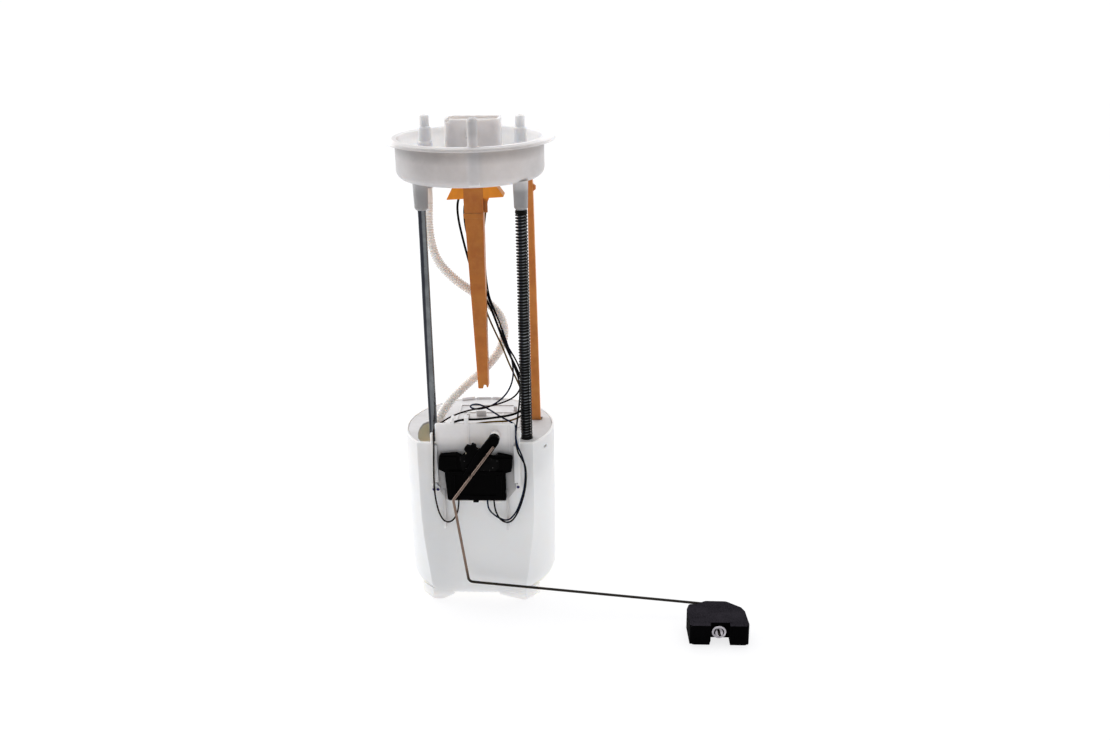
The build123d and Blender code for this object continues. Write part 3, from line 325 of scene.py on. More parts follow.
# painted light and shade: the can is a lighter copy of the acetal colour, painted a little darker towards its top, with
# a painted glow on its front and right walls
CAN = plastic("acetal_reservoir", (0.965, 0.95, 0.945), (0.93, 0.915, 0.91), (0.985, 0.975, 0.97), rough=(0.40, 0.56),
              sss=0.8, sss_scale=0.005, wear=(0.96, 0.955, 0.955), corner_shade=(0.68, 0.65, 0.64), flow=(1, 1, 1.6),
              inner=(1.0, 0.94, 0.81), glow=0.060, height=[(0.0, 1.0), (0.10, 0.99), (0.150, 0.90), (0.18, 0.89)])
# painted shade: the lid is a darker copy of the acetal colour, so its top, lit from above, comes out no brighter than
# the can
LID = plastic("acetal_lid", (0.60, 0.59, 0.60), (0.54, 0.53, 0.535), (0.68, 0.67, 0.68), rough=(0.40, 0.58),
              sss=0.35, wear=(0.80, 0.79, 0.79), corner_shade=(0.36, 0.34, 0.33), tab_painted_light=(0.90, 0.89, 0.90))
# painted light and shade: the panel is a lighter copy of the acetal colour, painted darker through its middle by height
# and full colour at its top
PANEL = plastic("acetal_panel", (0.85, 0.835, 0.84), (0.80, 0.785, 0.79), (0.90, 0.89, 0.895), rough=(0.36, 0.52),
                sss=0.9, sss_scale=0.005, wear=(0.88, 0.87, 0.87), corner_shade=(0.50, 0.48, 0.49),
                height=[(0.08, 0.90), (0.118, 0.56), (0.150, 0.55), (0.166, 0.77), (0.178, 1.0), (0.20, 1.0)])
HOLDER = plastic("acetal_holder", (0.74, 0.72, 0.68), (0.66, 0.64, 0.60), (0.80, 0.79, 0.75), sss=0.2,
                 corner_shade=(0.50, 0.47, 0.42))
# painted light and shade: the post is painted lighter at its foot and darker through its middle, by height
AMBER = plastic("amber_polymer", (0.60, 0.200, 0.025), (0.47, 0.130, 0.014), (0.72, 0.285, 0.050), rough=(0.30, 0.48),
                sss=0.35, sss_scale=0.003, sss_radius=(1.0, 0.42, 0.10), wear=(0.64, 0.30, 0.09), corner_shade=(0.25, 0.08, 0.012),
                flow=(1.4, 1.4, 0.5), spec=0.35, wings=(0.95, 0.335, 0.010),
                height=[(0.21, 1.12), (0.25, 0.97), (0.33, 0.83), (0.42, 0.90)])
AMBER_REAR = plastic("amber_polymer_rear", (0.68, 0.248, 0.044), (0.56, 0.175, 0.028), (0.76, 0.325, 0.074), rough=(0.30, 0.48),
                     sss=0.35, sss_scale=0.003, sss_radius=(1.0, 0.42, 0.10), wear=(0.74, 0.38, 0.12), corner_shade=(0.34, 0.11, 0.018),
                     flow=(1.4, 1.4, 0.5))
BLACK = plastic("black_polymer", (0.0012, 0.0011, 0.0012), (0.0007, 0.0007, 0.0007), (0.0026, 0.0024, 0.0026), rough=(0.45, 0.62),
                grain_m=0.00004, wear=(0.009, 0.0085, 0.009), spec=0.02, scratch=0.5)
PIN = plastic("pin_polymer", (0.020, 0.016, 0.110), (0.012, 0.010, 0.060), (0.040, 0.035, 0.180), rough=(0.40, 0.55),
              wear=(0.09, 0.08, 0.26), spec=0.2)
RUBBER = plastic("black_rubber", (0.014, 0.013, 0.013), (0.008, 0.008, 0.008), (0.028, 0.026, 0.026), rough=(0.55, 0.75),
                 grain_m=0.00006, spec=0.25)
MAGNET = plastic("ferrite", (0.045, 0.043, 0.043), (0.03, 0.03, 0.03), (0.075, 0.07, 0.07), rough=(0.5, 0.7), spec=0.4)
STRAINER = plastic("strainer_weave", (0.72, 0.71, 0.63), (0.62, 0.60, 0.52), (0.80, 0.79, 0.72), rough=(0.6, 0.8))
SPRING_STEEL = metal("spring_steel", (0.42, 0.42, 0.44), (0.26, 0.26, 0.27), (0.62, 0.62, 0.64))
PUMP_STEEL = metal("plated_case", (0.50, 0.50, 0.51), (0.36, 0.36, 0.37), (0.64, 0.64, 0.65), rough=(0.30, 0.45),
                   stain=(0.30, 0.29, 0.26))
CAST = metal("cast_alloy", (0.52, 0.52, 0.53), (0.38, 0.38, 0.39), (0.64, 0.64, 0.65), rough=(0.42, 0.6),
             brush=(1, 1, 1), brush_scale=300, pit_m=0.00006)
TIN = metal("tinned_brass", (0.62, 0.57, 0.44), (0.44, 0.39, 0.28), (0.76, 0.73, 0.62), rough=(0.22, 0.36))
COPPER = metal("copper_bars", (0.60, 0.29, 0.16), (0.40, 0.17, 0.09), (0.74, 0.40, 0.25))
BRONZE = metal("sintered_bronze", (0.40, 0.27, 0.12), (0.28, 0.18, 0.08), (0.52, 0.38, 0.20), rough=(0.4, 0.6), pit_m=0.00006)
IRON = metal("laminations", (0.22, 0.15, 0.12), (0.13, 0.09, 0.08), (0.34, 0.26, 0.22), rough=(0.35, 0.55),
             brush=(0.03, 0.03, 1), brush_scale=1400)
NUT = metal("plated_nut", (0.46, 0.44, 0.47), (0.24, 0.225, 0.25), (0.80, 0.79, 0.82), rough=(0.16, 0.34),
            brush=(1, 1, 1), brush_scale=420, stain=(0.22, 0.20, 0.22))


def rod_material():
    """Ground steel rod, grey, with a painted reflection: a bright left flank and a dark stripe beside it that thins out
    downwards.
    """
    k = Mat("guide_rod_steel")
    cloud = k.noise(55, 6, 0.65)
    col = k.ramp(cloud, [(0.30, (0.110, 0.115, 0.125)), (0.52, (0.155, 0.165, 0.172)), (0.72, (0.23, 0.245, 0.255))])
    lines = k.noise(900, 4, 0.7, co=k.mapped((1, 1, 0.02)))
    col = k.mix(k.span(lines, 0.0, 0.40, 0.40, 0.66), col, (0.115, 0.12, 0.13))
    spots = k.noise(210, 7, 0.7)
    col = k.mix(k.span(spots, 0.0, 0.7, 0.57, 0.70), col, (0.10, 0.095, 0.088))
    ge = k.t.nodes.new("ShaderNodeNewGeometry")
    nor = k.t.nodes.new("ShaderNodeSeparateXYZ")
    k.link(ge.outputs["Normal"], nor.inputs[0])
    pos = k.t.nodes.new("ShaderNodeSeparateXYZ")
    k.link(k.co, pos.inputs[0])
    # painted reflection: the colour follows which way the surface faces in X, shifted with height, giving the painted
    # dark stripe and the painted highlight on the left flank
    t = k.math("ADD", nor.outputs["X"], k.span(pos.outputs["Z"], 0.42, 0.0, 0.21, 0.36))
    t = k.math("ADD", t, k.span(cloud, -0.04, 0.04, 0.3, 0.7))
    dark = k.math("MULTIPLY", k.span(t, 0.0, 1.0, -0.70, -0.58), k.span(t, 1.0, 0.0, 0.02, 0.22))
    col = k.mix(k.math("MULTIPLY", dark, 0.86), col, (0.012, 0.014, 0.022))
    col = k.mix(k.span(t, 1.0, 0.0, -0.84, -0.70), col, (0.95, 0.96, 0.97))
    k.link(col, k.b.inputs["Base Color"])
    k.link(k.math("ADD", k.span(cloud, 0.08, 0.14, 0.3, 0.7), k.span(lines, -0.03, 0.06, 0.35, 0.65)), k.b.inputs["Roughness"])
    k.put(Metallic=1.0, Specular_IOR_Level=0.5)
    k.bump(lines, 0.000006, 0.6)
    k.bump(k.noise(1300, 4, 0.7), 0.000006, 0.5)
    return k.m


def arm_wire_material():
    """Drawn wire with a thin brown scale: rubbed copper-grey on the upright runs, painted darker as shade where they
    face the front, nearly black along the low run.
    """
    k = Mat("arm_wire_steel")
    cloud = k.noise(48, 6, 0.65)
    col = k.ramp(cloud, [(0.28, (0.15, 0.100, 0.078)), (0.50, (0.225, 0.155, 0.120)), (0.74, (0.30, 0.215, 0.170))])
    lines = k.noise(1500, 3, 0.7, co=k.mapped((1, 1, 0.05)))
    col = k.mix(k.span(lines, 0.0, 0.45, 0.45, 0.68), col, (0.10, 0.075, 0.060))
    sep = k.t.nodes.new("ShaderNodeSeparateXYZ")
    k.link(k.co, sep.inputs[0])
    up = k.span(sep.outputs["Z"], 0.0, 1.0, 0.112, 0.124)
    col = k.mix(up, col, k.mix(k.span(lines, 0.0, 0.6, 0.42, 0.66), (0.42, 0.310, 0.255), (0.12, 0.08, 0.065)))
    ge = k.t.nodes.new("ShaderNodeNewGeometry")
    nor = k.t.nodes.new("ShaderNodeSeparateXYZ")
    k.link(ge.outputs["Normal"], nor.inputs[0])
    # painted shade: the upright runs are darker where they face the front
    front_shade = k.math("MULTIPLY", k.math("MULTIPLY", up, k.span(nor.outputs["Y"], 0.85, 0.0, -0.94, -0.74)), k.span(lines, 0.6, 1.0, 0.4, 0.6))
    col = k.mix(front_shade, col, (0.050, 0.036, 0.030))
    low = k.span(sep.outputs["Z"], 1.0, 0.0, 0.0315, 0.046)
    scale = k.ramp(cloud, [(0.3, (0.010, 0.007, 0.0045)), (0.55, (0.018, 0.013, 0.008)), (0.8, (0.050, 0.038, 0.025))])
    col = k.mix(low, col, scale)
    k.link(col, k.b.inputs["Base Color"])
    k.link(k.span(cloud, 0.34, 0.52, 0.3, 0.7), k.b.inputs["Roughness"])
    k.link(k.math("SUBTRACT", 0.65, k.math("MULTIPLY", low, 0.65)), k.b.inputs["Metallic"])
    k.put(Specular_IOR_Level=0.2)
    k.bump(lines, 0.00001, 0.5)
    k.bump(k.noise(900, 4, 0.7), 0.00002, 0.4)
    return k.m


def foam_material():
    """Closed-cell foam skin: fine cells, a few larger pores, grey bloom on the cells' tops, and painted light on the
    faces turned up.
    """
    k = Mat("float_foam")
    cells = k.voronoi(1150)
    pores = k.voronoi(420, co=k.mapped((1, 1, 1), (0.3, 0.2, 0.5)))
    cloud = k.noise(60, 5, 0.6)
    col = k.ramp(cells, [(0.05, (0.020, 0.018, 0.023)), (0.45, (0.012, 0.0108, 0.014)), (0.9, (0.005, 0.0045, 0.006))])
    col = k.mix(k.span(cloud, 0.0, 0.40, 0.42, 0.66), col, (0.024, 0.0215, 0.027))
    col = k.mix(k.span(pores, 0.8, 0.0, 0.05, 0.20), col, (0.004, 0.004, 0.004))
    # painted light and shade: faces turned up are painted lighter, the sides nearly black
    ge = k.t.nodes.new("ShaderNodeNewGeometry")
    nor = k.t.nodes.new("ShaderNodeSeparateXYZ")
    k.link(ge.outputs["Normal"], nor.inputs[0])
    col = k.mix(1.0, col, k.span(nor.outputs["Z"], 0.10, 1.45, 0.25, 0.80), "MULTIPLY")
    k.link(col, k.b.inputs["Base Color"])
    k.link(k.span(cells, 0.7, 0.95, 0.1, 0.8), k.b.inputs["Roughness"])
    k.put(Specular_IOR_Level=0.02)
    k.bump(k.noise(160, 4, 0.6), 0.00012, 0.5)
    k.bump(k.math("SUBTRACT", 0.0, cells), 0.00016, 0.7)
    return k.m


def hose_material():
    """Thin corrugated nylon: milky and a little translucent, browner in the valleys as painted shade."""
    k = Mat("hose_nylon")
    cloud = k.noise(60, 5, 0.6)
    col = k.ramp(cloud, [(0.30, (0.86, 0.81, 0.77)), (0.52, (0.92, 0.885, 0.855)), (0.74, (0.96, 0.935, 0.915))])
    # painted shade: the valleys between the ribs are painted browner
    ao = k.crevice(0.0015)
    col = k.mix(k.span(ao, 0.42, 0.0, 0.35, 0.9), col, (0.70, 0.62, 0.55))
    streak = k.noise(300, 4, 0.6)
    col = k.mix(k.span(streak, 0.0, 0.18, 0.5, 0.75), col, (0.70, 0.62, 0.55))
    k.link(col, k.b.inputs["Base Color"])
    k.link(k.span(cloud, 0.30, 0.46, 0.3, 0.7), k.b.inputs["Roughness"])
    k.put(Subsurface_Weight=0.9, Subsurface_Scale=0.005, Subsurface_Radius=(1.0, 0.92, 0.84), Specular_IOR_Level=0.5)
    k.bump(k.noise(900, 3, 0.6), 0.00003, 0.5)
    return k.m


def card_material():
    """Dark glazed card: printed resistive track with small bright contact dots and hairlines."""
    k = Mat("printed_card")
    cloud = k.noise(120, 5, 0.6)
    col = k.ramp(cloud, [(0.3, (0.0012, 0.0012, 0.0013)), (0.55, (0.0028, 0.0026, 0.0026)), (0.8, (0.007, 0.006, 0.006))])
    dots = k.voronoi(330)
    col = k.mix(k.span(dots, 1.0, 0.0, 0.05, 0.12), col, (0.30, 0.29, 0.29))
    hair = k.noise(420, 3, 0.6, co=k.mapped((1, 1, 0.08), (0, 0.6, 0)))
    col = k.mix(k.span(hair, 0.0, 0.5, 0.67, 0.72), col, (0.10, 0.09, 0.09))
    k.link(col, k.b.inputs["Base Color"])
    k.link(k.span(cloud, 0.30, 0.45, 0.3, 0.7), k.b.inputs["Roughness"])
    k.put(Specular_IOR_Level=0.03)
    k.bump(k.math("SUBTRACT", 0.0, dots), 0.00003, 0.4)
    k.bump(k.noise(900, 3, 0.6), 0.00001, 0.5)
    return k.m


def insulation(name, base, dark, light, rough=(0.34, 0.50)):
    """Extruded wire insulation: streaks along the wire, scuffs, slight dents of the strands beneath."""
    k = Mat(name)
    cloud = k.noise(90, 5, 0.6)
    col = k.ramp(cloud, [(0.30, dark), (0.52, base), (0.75, light)])
    scuff = k.noise(700, 6, 0.72)
    col = k.mix(k.span(scuff, 0.0, 0.5, 0.60, 0.76), col, light)
    k.link(col, k.b.inputs["Base Color"])
    k.link(k.math("ADD", k.span(cloud, rough[0], rough[1], 0.3, 0.7), k.span(scuff, 0.0, 0.18, 0.55, 0.75)),
           k.b.inputs["Roughness"])
    k.put(Specular_IOR_Level=0.05)
    k.bump(k.noise(400, 4, 0.6), 0.00003, 0.6)
    k.bump(scuff, 0.00001, 0.5)
    return k.m


def spring_material():
    """Phosphated spring wire: soot black with lighter rubbed flanks and oil sheen."""
    k = Mat("phosphated_spring")
    cloud = k.noise(70, 5, 0.62)
    col = k.ramp(cloud, [(0.30, (0.0022, 0.0019, 0.0016)), (0.55, (0.0045, 0.0038, 0.0031)), (0.78, (0.013, 0.011, 0.010))])
    rub = k.noise(520, 5, 0.7)
    col = k.mix(k.span(rub, 0.0, 0.5, 0.60, 0.74), col, (0.034, 0.030, 0.027))
    k.link(col, k.b.inputs["Base Color"])
    k.link(k.span(rub, 0.30, 0.46, 0.35, 0.7), k.b.inputs["Roughness"])
    k.put(Metallic=0.0, Specular_IOR_Level=0.10)
    k.bump(k.noise(1600, 4, 0.7), 0.00001, 0.5)
    return k.m


ROD = rod_material()
ARM = arm_wire_material()
CARD = card_material()
FOAM = foam_material()
HOSE_MAT = hose_material()
SPRING = spring_material()
W_BLACK = insulation("insulation_black", (0.0035, 0.0035, 0.0038), (0.002, 0.002, 0.002), (0.012, 0.012, 0.013))
W_OLIVE = insulation("insulation_olive", (0.130, 0.074, 0.010), (0.085, 0.048, 0.006), (0.20, 0.125, 0.025))
W_BROWN = insulation("insulation_brown", (0.009, 0.0026, 0.0018), (0.005, 0.0016, 0.0012), (0.022, 0.0075, 0.0055))
W_BLUE = insulation("insulation_blue", (0.0036, 0.0105, 0.036), (0.0022, 0.006, 0.019), (0.010, 0.024, 0.072))


def paint(nodes, material):
    for n in nodes:
        o = NODES[n]
        o.data.materials.clear()
        o.data.materials.append(material)


paint(["flange"], WHITE)
paint(["electrical_connector"], SOCKET)
paint(["reservoir_can"], CAN)
paint(["reservoir_lid"], LID)
paint(["sender_bracket"], PANEL)
paint(["pump_holder", "outlet_manifold", "jet_pump"], HOLDER)
paint(["wire_bracket"], AMBER)
paint(["rear_stop_post"], AMBER_REAR)
paint(["sender_housing", "sender_lever", "pump_outlet_cover", "impeller", "pump_plug", "jet_nozzle"], BLACK)
paint(["pump_isolator", "check_valve", "inlet_valve"], RUBBER)
paint(["resistor_card"], CARD)
paint(["pump_magnets", "carbon_brushes"], MAGNET)
paint(["inlet_strainer"], STRAINER)
paint(["guide_rods", "motor_shaft"], ROD)
paint(["rod_clips", "brush_springs", "check_valve_spring"], SPRING_STEEL)
paint(["sender_pivot_pin"], BLACK)
paint(["panel_pins"], PIN)
paint(["pump_shell", "pressure_regulator"], PUMP_STEEL)
paint(["pump_inlet_cover", "pump_chamber_plate"], CAST)
paint(["connector_terminals", "wiper_contacts", "pump_terminals"], TIN)
paint(["commutator"], COPPER)
paint(["pump_bushings"], BRONZE)
paint(["armature"], IRON)
paint(["float_push_nut"], NUT)
paint(["float_arm_wire"], ARM)
paint(["float"], FOAM)


# ---------------------------------------------------------------- mesh helpers
def mesh_object(name, verts, faces, material, smooth=True):
    me = bpy.data.meshes.new(name)
    me.from_pydata([tuple(v) for v in verts], [], [tuple(f) for f in faces])
    me.validate()
    me.update()
    o = bpy.data.objects.new(name, me)
    scene.collection.objects.link(o)
    me.materials.append(material)
    if smooth:
        me.polygons.foreach_set("use_smooth", [True] * len(me.polygons))
    return o


def route_line(name, route):
    """The smooth line of a route: a NURBS spline with the route's points, read back as points."""
    cu = bpy.data.curves.new(name + "_route", "CURVE")
    cu.dimensions = "3D"
    cu.resolution_u = 24
    sp = cu.splines.new("NURBS")
    sp.points.add(len(route) - 1)
    for p, q in zip(sp.points, route):
        p.co = (q[0], q[1], q[2], 1.0)
    sp.order_u = 3
    sp.use_endpoint_u = True
    o = bpy.data.objects.new(name + "_route", cu)
    scene.collection.objects.link(o)
    bpy.context.view_layer.update()
    me = bpy.data.meshes.new_from_object(o.evaluated_get(bpy.context.evaluated_depsgraph_get()))
    line = np.array([v.co for v in me.vertices], float)
    bpy.data.meshes.remove(me)
    bpy.data.objects.remove(o)
    bpy.data.curves.remove(cu)
    keep = [0]
    for i in range(1, len(line)):
        if np.linalg.norm(line[i] - line[keep[-1]]) > 1e-6:
            keep.append(i)
    return line[keep]


def along(line, stations):
    """Points of the line at these distances from its start, and the total length."""
    d = np.concatenate([[0], np.cumsum(np.linalg.norm(np.diff(line, axis=0), axis=1))])
    return np.stack([np.interp(stations, d, line[:, i]) for i in range(3)], 1), d[-1]


def line_length(line):
    return float(np.linalg.norm(np.diff(line, axis=0), axis=1).sum())


def frames_of(points):
    """A twist-free pair of cross directions at each point."""
    t = np.gradient(points, axis=0)
    t /= np.linalg.norm(t, axis=1)[:, None]
    a = np.array([0.0, 1.0, 0.0]) if abs(t[0][1]) < 0.9 else np.array([1.0, 0.0, 0.0])
    u = a - (a @ t[0]) * t[0]
    u /= np.linalg.norm(u)
    us = [u]
    for i in range(1, len(points)):
        u = us[-1] - (us[-1] @ t[i]) * t[i]
        us.append(u / np.linalg.norm(u))
    us = np.array(us)
    return us, np.cross(t, us)


def tube_mesh(name, centres, radii, sides, material, wobble=None):
    """A closed tube: one ring of the given radius round each centre, and rounded ends."""
    u, w = frames_of(centres)
    ang = np.linspace(0, 2 * math.pi, sides, endpoint=False)
    c, s = np.cos(ang), np.sin(ang)
    rings = centres[:, None, :] + radii[:, None, None] * (u[:, None, :] * c[None, :, None] + w[:, None, :] * s[None, :, None])
    verts = rings.reshape(-1, 3).tolist()
    faces = []
    n = len(centres)
    for i in range(n - 1):
        for j in range(sides):
            k = (j + 1) % sides
            faces.append((i * sides + j, i * sides + k, (i + 1) * sides + k, (i + 1) * sides + j))
    verts.append(centres[0].tolist())
    verts.append(centres[-1].tolist())
    for j in range(sides):
        k = (j + 1) % sides
        faces.append((n * sides, k, j))
        faces.append((n * sides + 1, (n - 1) * sides + j, (n - 1) * sides + k))
    return mesh_object(name, verts, faces, material)


# ---------------------------------------------------------------- the camera
def rot_rows():
    th, az, ro = math.radians(19.97), math.radians(3.23), math.radians(-0.90)
    fw = np.array([-math.sin(az) * math.cos(th), math.cos(az) * math.cos(th), -math.sin(th)])
    right = np.array([math.cos(az), math.sin(az), 0.0])
    up = np.cross(right, fw)
    r2 = math.cos(ro) * right + math.sin(ro) * up
    u2 = -math.sin(ro) * right + math.cos(ro) * up
    return r2, u2, fw


r2, u2, fw = rot_rows()
cam_data = bpy.data.cameras.new("camera")
cam_data.sensor_width = 36.0
cam_data.sensor_fit = "HORIZONTAL"
cam_data.lens = 36.0 * 1158.6 / 1110.0
cam_data.clip_start, cam_data.clip_end = 0.05, 200.0
cam = bpy.data.objects.new("camera", cam_data)
scene.collection.objects.link(cam)
cam.matrix_world = Matrix((
    (r2[0], u2[0], -fw[0], 0.1364),
    (r2[1], u2[1], -fw[1], -1.069),
    (r2[2], u2[2], -fw[2], 0.617),
    (0, 0, 0, 1)))
scene.camera = cam


# ---------------------------------------------------------------- the hose and the wires
HOSE = [
    (-42.0, 8.0, 408.0), (-42.0, 8.0, 392.9), (-43.4, 7.0, 365.8), (-37.6, 6.2, 337.2), (-18.1, 5.9, 316.3),
    (5.9, 6.0, 300.7), (26.6, 6.1, 280.0), (25.8, 5.7, 251.2), (7.5, 5.1, 228.2), (-14.1, 2.7, 210.2),
    (-33.9, -4.8, 191.5), (-44.0, -7.0, 168.0), (-44.0, -7.0, 150.0),
]
WIRE_GROUND = [
    (-11.0, 24.0, 411.0), (-11.0, 24.0, 402.8), (-16.0, 17.0, 391.5), (-14.2, 7.4, 377.5), (-9.4, -1.2, 360.5),
    (-5.1, -3.6, 342.9), (-0.8, -3.6, 326.4), (6.3, -4.4, 310.9), (14.3, -5.1, 295.9), (20.4, -6.9, 280.1),
    (25.8, -8.9, 264.0), (32.5, -11.7, 248.6), (40.2, -16.0, 234.2), (46.3, -18.8, 218.1), (48.3, -26.2, 197.9),
    (37.6, -34.8, 194.4), (21.0, -43.9, 195.1), (4.5, -46.9, 194.2), (-13.5, -46.5, 194.1), (-27.7, -45.0, 186.5),
    (-27.4, -43.1, 168.7), (-19.7, -36.4, 154.5), (-10.5, -22.4, 142.6), (-5.0, -9.5, 137.0), (-5.0, 0.0, 137.0),
]
WIRE_SUPPLY = [
    (14.0, 24.0, 411.0), (14.0, 24.0, 402.2), (12.3, 13.1, 387.7), (10.5, 6.8, 371.0), (8.1, 2.8, 354.3),
    (5.9, 0.4, 337.2), (5.2, -0.8, 319.8), (7.1, -1.4, 302.3), (11.4, -1.1, 285.4), (17.8, -1.6, 269.1),
    (25.2, -3.2, 253.2), (31.3, -6.6, 237.2), (39.0, -11.6, 222.4), (46.5, -17.2, 206.8), (47.5, -27.2, 192.0),
    (35.4, -39.6, 189.7), (18.7, -45.5, 191.6), (1.3, -45.2, 189.5), (-15.8, -44.6, 183.0), (-24.1, -42.8, 168.5),
    (-16.1, -36.6, 153.6), (-4.6, -23.7, 141.9), (-1.0, -10.0, 137.0), (-1.0, 0.0, 137.0),
]
WIRE_SENDER_A = [
    (-5.0, 24.0, 411.0), (-5.0, 24.0, 402.1), (-9.4, 13.2, 388.5), (-8.0, 6.2, 371.4), (-3.4, 1.8, 354.1),
    (3.3, -1.2, 337.0), (6.3, -2.6, 319.7), (10.4, -2.7, 302.7), (17.2, -3.7, 286.6), (23.6, -4.7, 270.1),
    (30.8, -6.3, 254.2), (40.3, -12.3, 240.4), (46.7, -19.6, 224.9), (40.0, -24.7, 209.5), (23.5, -28.6, 203.1),
    (6.1, -32.6, 200.5), (-10.7, -38.3, 199.0), (-25.4, -42.8, 194.1), (-34.4, -43.8, 187.6), (-39.5, -48.2, 184.9),
    (-38.4, -54.2, 177.6), (-38.8, -55.4, 166.5), (-39.8, -54.5, 150.3), (-40.6, -54.2, 132.9), (-40.4, -53.8, 115.3),
    (-37.4, -53.1, 96.5), (-31.9, -53.2, 86.9), (-24.1, -53.5, 88.5), (-18.9, -54.1, 98.0), (-17.0, -54.0, 109.0),
    (-17.0, -54.0, 118.0),
]
WIRE_SENDER_B = [
    (1.5, 24.0, 411.0), (1.5, 24.0, 402.4), (1.7, 16.2, 394.1), (2.2, 10.8, 382.4), (3.3, 6.6, 370.5),
    (4.6, 3.0, 358.5), (6.2, -0.2, 346.3), (7.8, -2.4, 334.1), (9.5, -3.8, 321.6), (11.6, -4.8, 309.2),
    (15.6, -5.9, 297.3), (21.0, -6.7, 285.8), (25.5, -7.7, 273.9), (29.4, -8.8, 262.0), (33.1, -9.7, 249.9),
    (35.7, -10.9, 237.5), (36.0, -12.1, 224.8), (32.1, -13.9, 212.6), (24.3, -17.7, 203.5), (13.9, -24.3, 198.7),
    (2.8, -29.3, 197.3), (-5.5, -27.7, 198.5), (-5.9, -20.7, 198.9), (2.4, -18.8, 199.4), (15.0, -28.9, 196.2),
    (24.5, -37.3, 193.4), (33.5, -43.4, 191.6), (40.2, -45.8, 188.1), (40.4, -51.9, 183.8), (40.9, -56.5, 176.3),
    (43.7, -57.0, 167.3), (46.6, -56.4, 160.2), (49.0, -55.5, 147.7), (48.7, -54.6, 134.9), (46.8, -53.9, 122.4),
    (43.3, -53.5, 110.1), (38.4, -53.0, 97.5), (30.0, -52.5, 88.2), (19.2, -53.1, 93.5), (12.0, -53.8, 101.5),
    (11.0, -54.0, 109.0), (11.0, -54.0, 118.0),
]
WIRE_SENDER_C = [
    (8.0, 24.0, 411.0), (8.0, 24.0, 402.2), (7.8, 13.7, 387.8), (8.2, 8.7, 370.7), (9.4, 4.6, 354.0),
    (10.7, 0.6, 337.2), (11.7, -2.3, 319.9), (14.6, -7.1, 303.4), (21.2, -8.9, 287.6), (26.5, -10.6, 271.2),
    (31.2, -12.6, 254.6), (37.0, -16.6, 238.8), (43.3, -22.5, 223.6), (43.4, -30.9, 208.7), (41.3, -39.4, 192.3),
    (40.1, -45.7, 180.4), (40.3, -53.6, 175.9), (42.0, -57.7, 165.8), (46.6, -58.1, 157.5), (50.0, -57.6, 149.6),
    (49.7, -56.2, 132.2), (46.4, -55.8, 115.3), (39.9, -55.5, 97.5), (32.9, -55.1, 88.1), (24.4, -54.9, 89.5),
    (19.0, -54.3, 98.5), (17.4, -54.0, 109.0), (17.4, -54.0, 118.0),
]


def metres(route):
    return [(x * MM, y * MM, z * MM) for x, y, z in route]


def wire(name, node, route, diameter, material):
    line = route_line(name, metres(route))
    total = line_length(line)
    n = max(40, int(total / 0.0009))
    centres, _ = along(line, np.linspace(0, total, n))
    s = np.linspace(0, total, n)
    r = np.full(n, diameter / 2) * (1 + 0.012 * np.sin(s / 0.0031) + 0.010 * np.sin(s / 0.0173 + 1.0))
    o = tube_mesh(name, centres, r, 14, material)
    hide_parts(node)
    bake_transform(o)
    return o


wire("ground_wire", "wire_ground", WIRE_GROUND, 0.0022, W_BLACK)
wire("supply_wire", "wire_supply", WIRE_SUPPLY, 0.0017, W_OLIVE)
wire("sender_wire_a", "wire_sender_a", WIRE_SENDER_A, 0.0016, W_BROWN)
wire("sender_wire_b", "wire_sender_b", WIRE_SENDER_B, 0.0016, W_BLUE)
wire("sender_wire_c", "wire_sender_c", WIRE_SENDER_C, 0.0016, W_BLACK)


def corrugated_hose():
    line = route_line("hose", metres(HOSE))
    total = line_length(line)
    pitch, crest, root, cuff = 0.0026, 0.00475, 0.00390, 0.014
    step = pitch / 8
    n = int(total / step) + 1
    s = np.linspace(0, total, n)
    centres, _ = along(line, s)
    r = np.empty(n)
    turns = max(1, round((total - 2 * cuff) / pitch))
    for i, d in enumerate(s):
        if d < cuff or d > total - cuff:
            e = min(d, total - d)
            r[i] = 0.00452 + (0.00018 if 0.0095 < e < 0.0125 else 0.0) - (0.0003 if e < 0.0008 else 0.0)
        else:
            ph = (d - cuff) / (total - 2 * cuff) * turns
            f = ph - math.floor(ph)
            k = 0.5 - 0.5 * math.cos(2 * math.pi * f)
            r[i] = root + (crest - root) * min(1.0, max(0.0, (k - 0.12) / 0.62)) ** 0.8
    o = tube_mesh("corrugated_hose", centres, r, 36, HOSE_MAT)
    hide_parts("fuel_hose")
    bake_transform(o)
    return o


corrugated_hose()


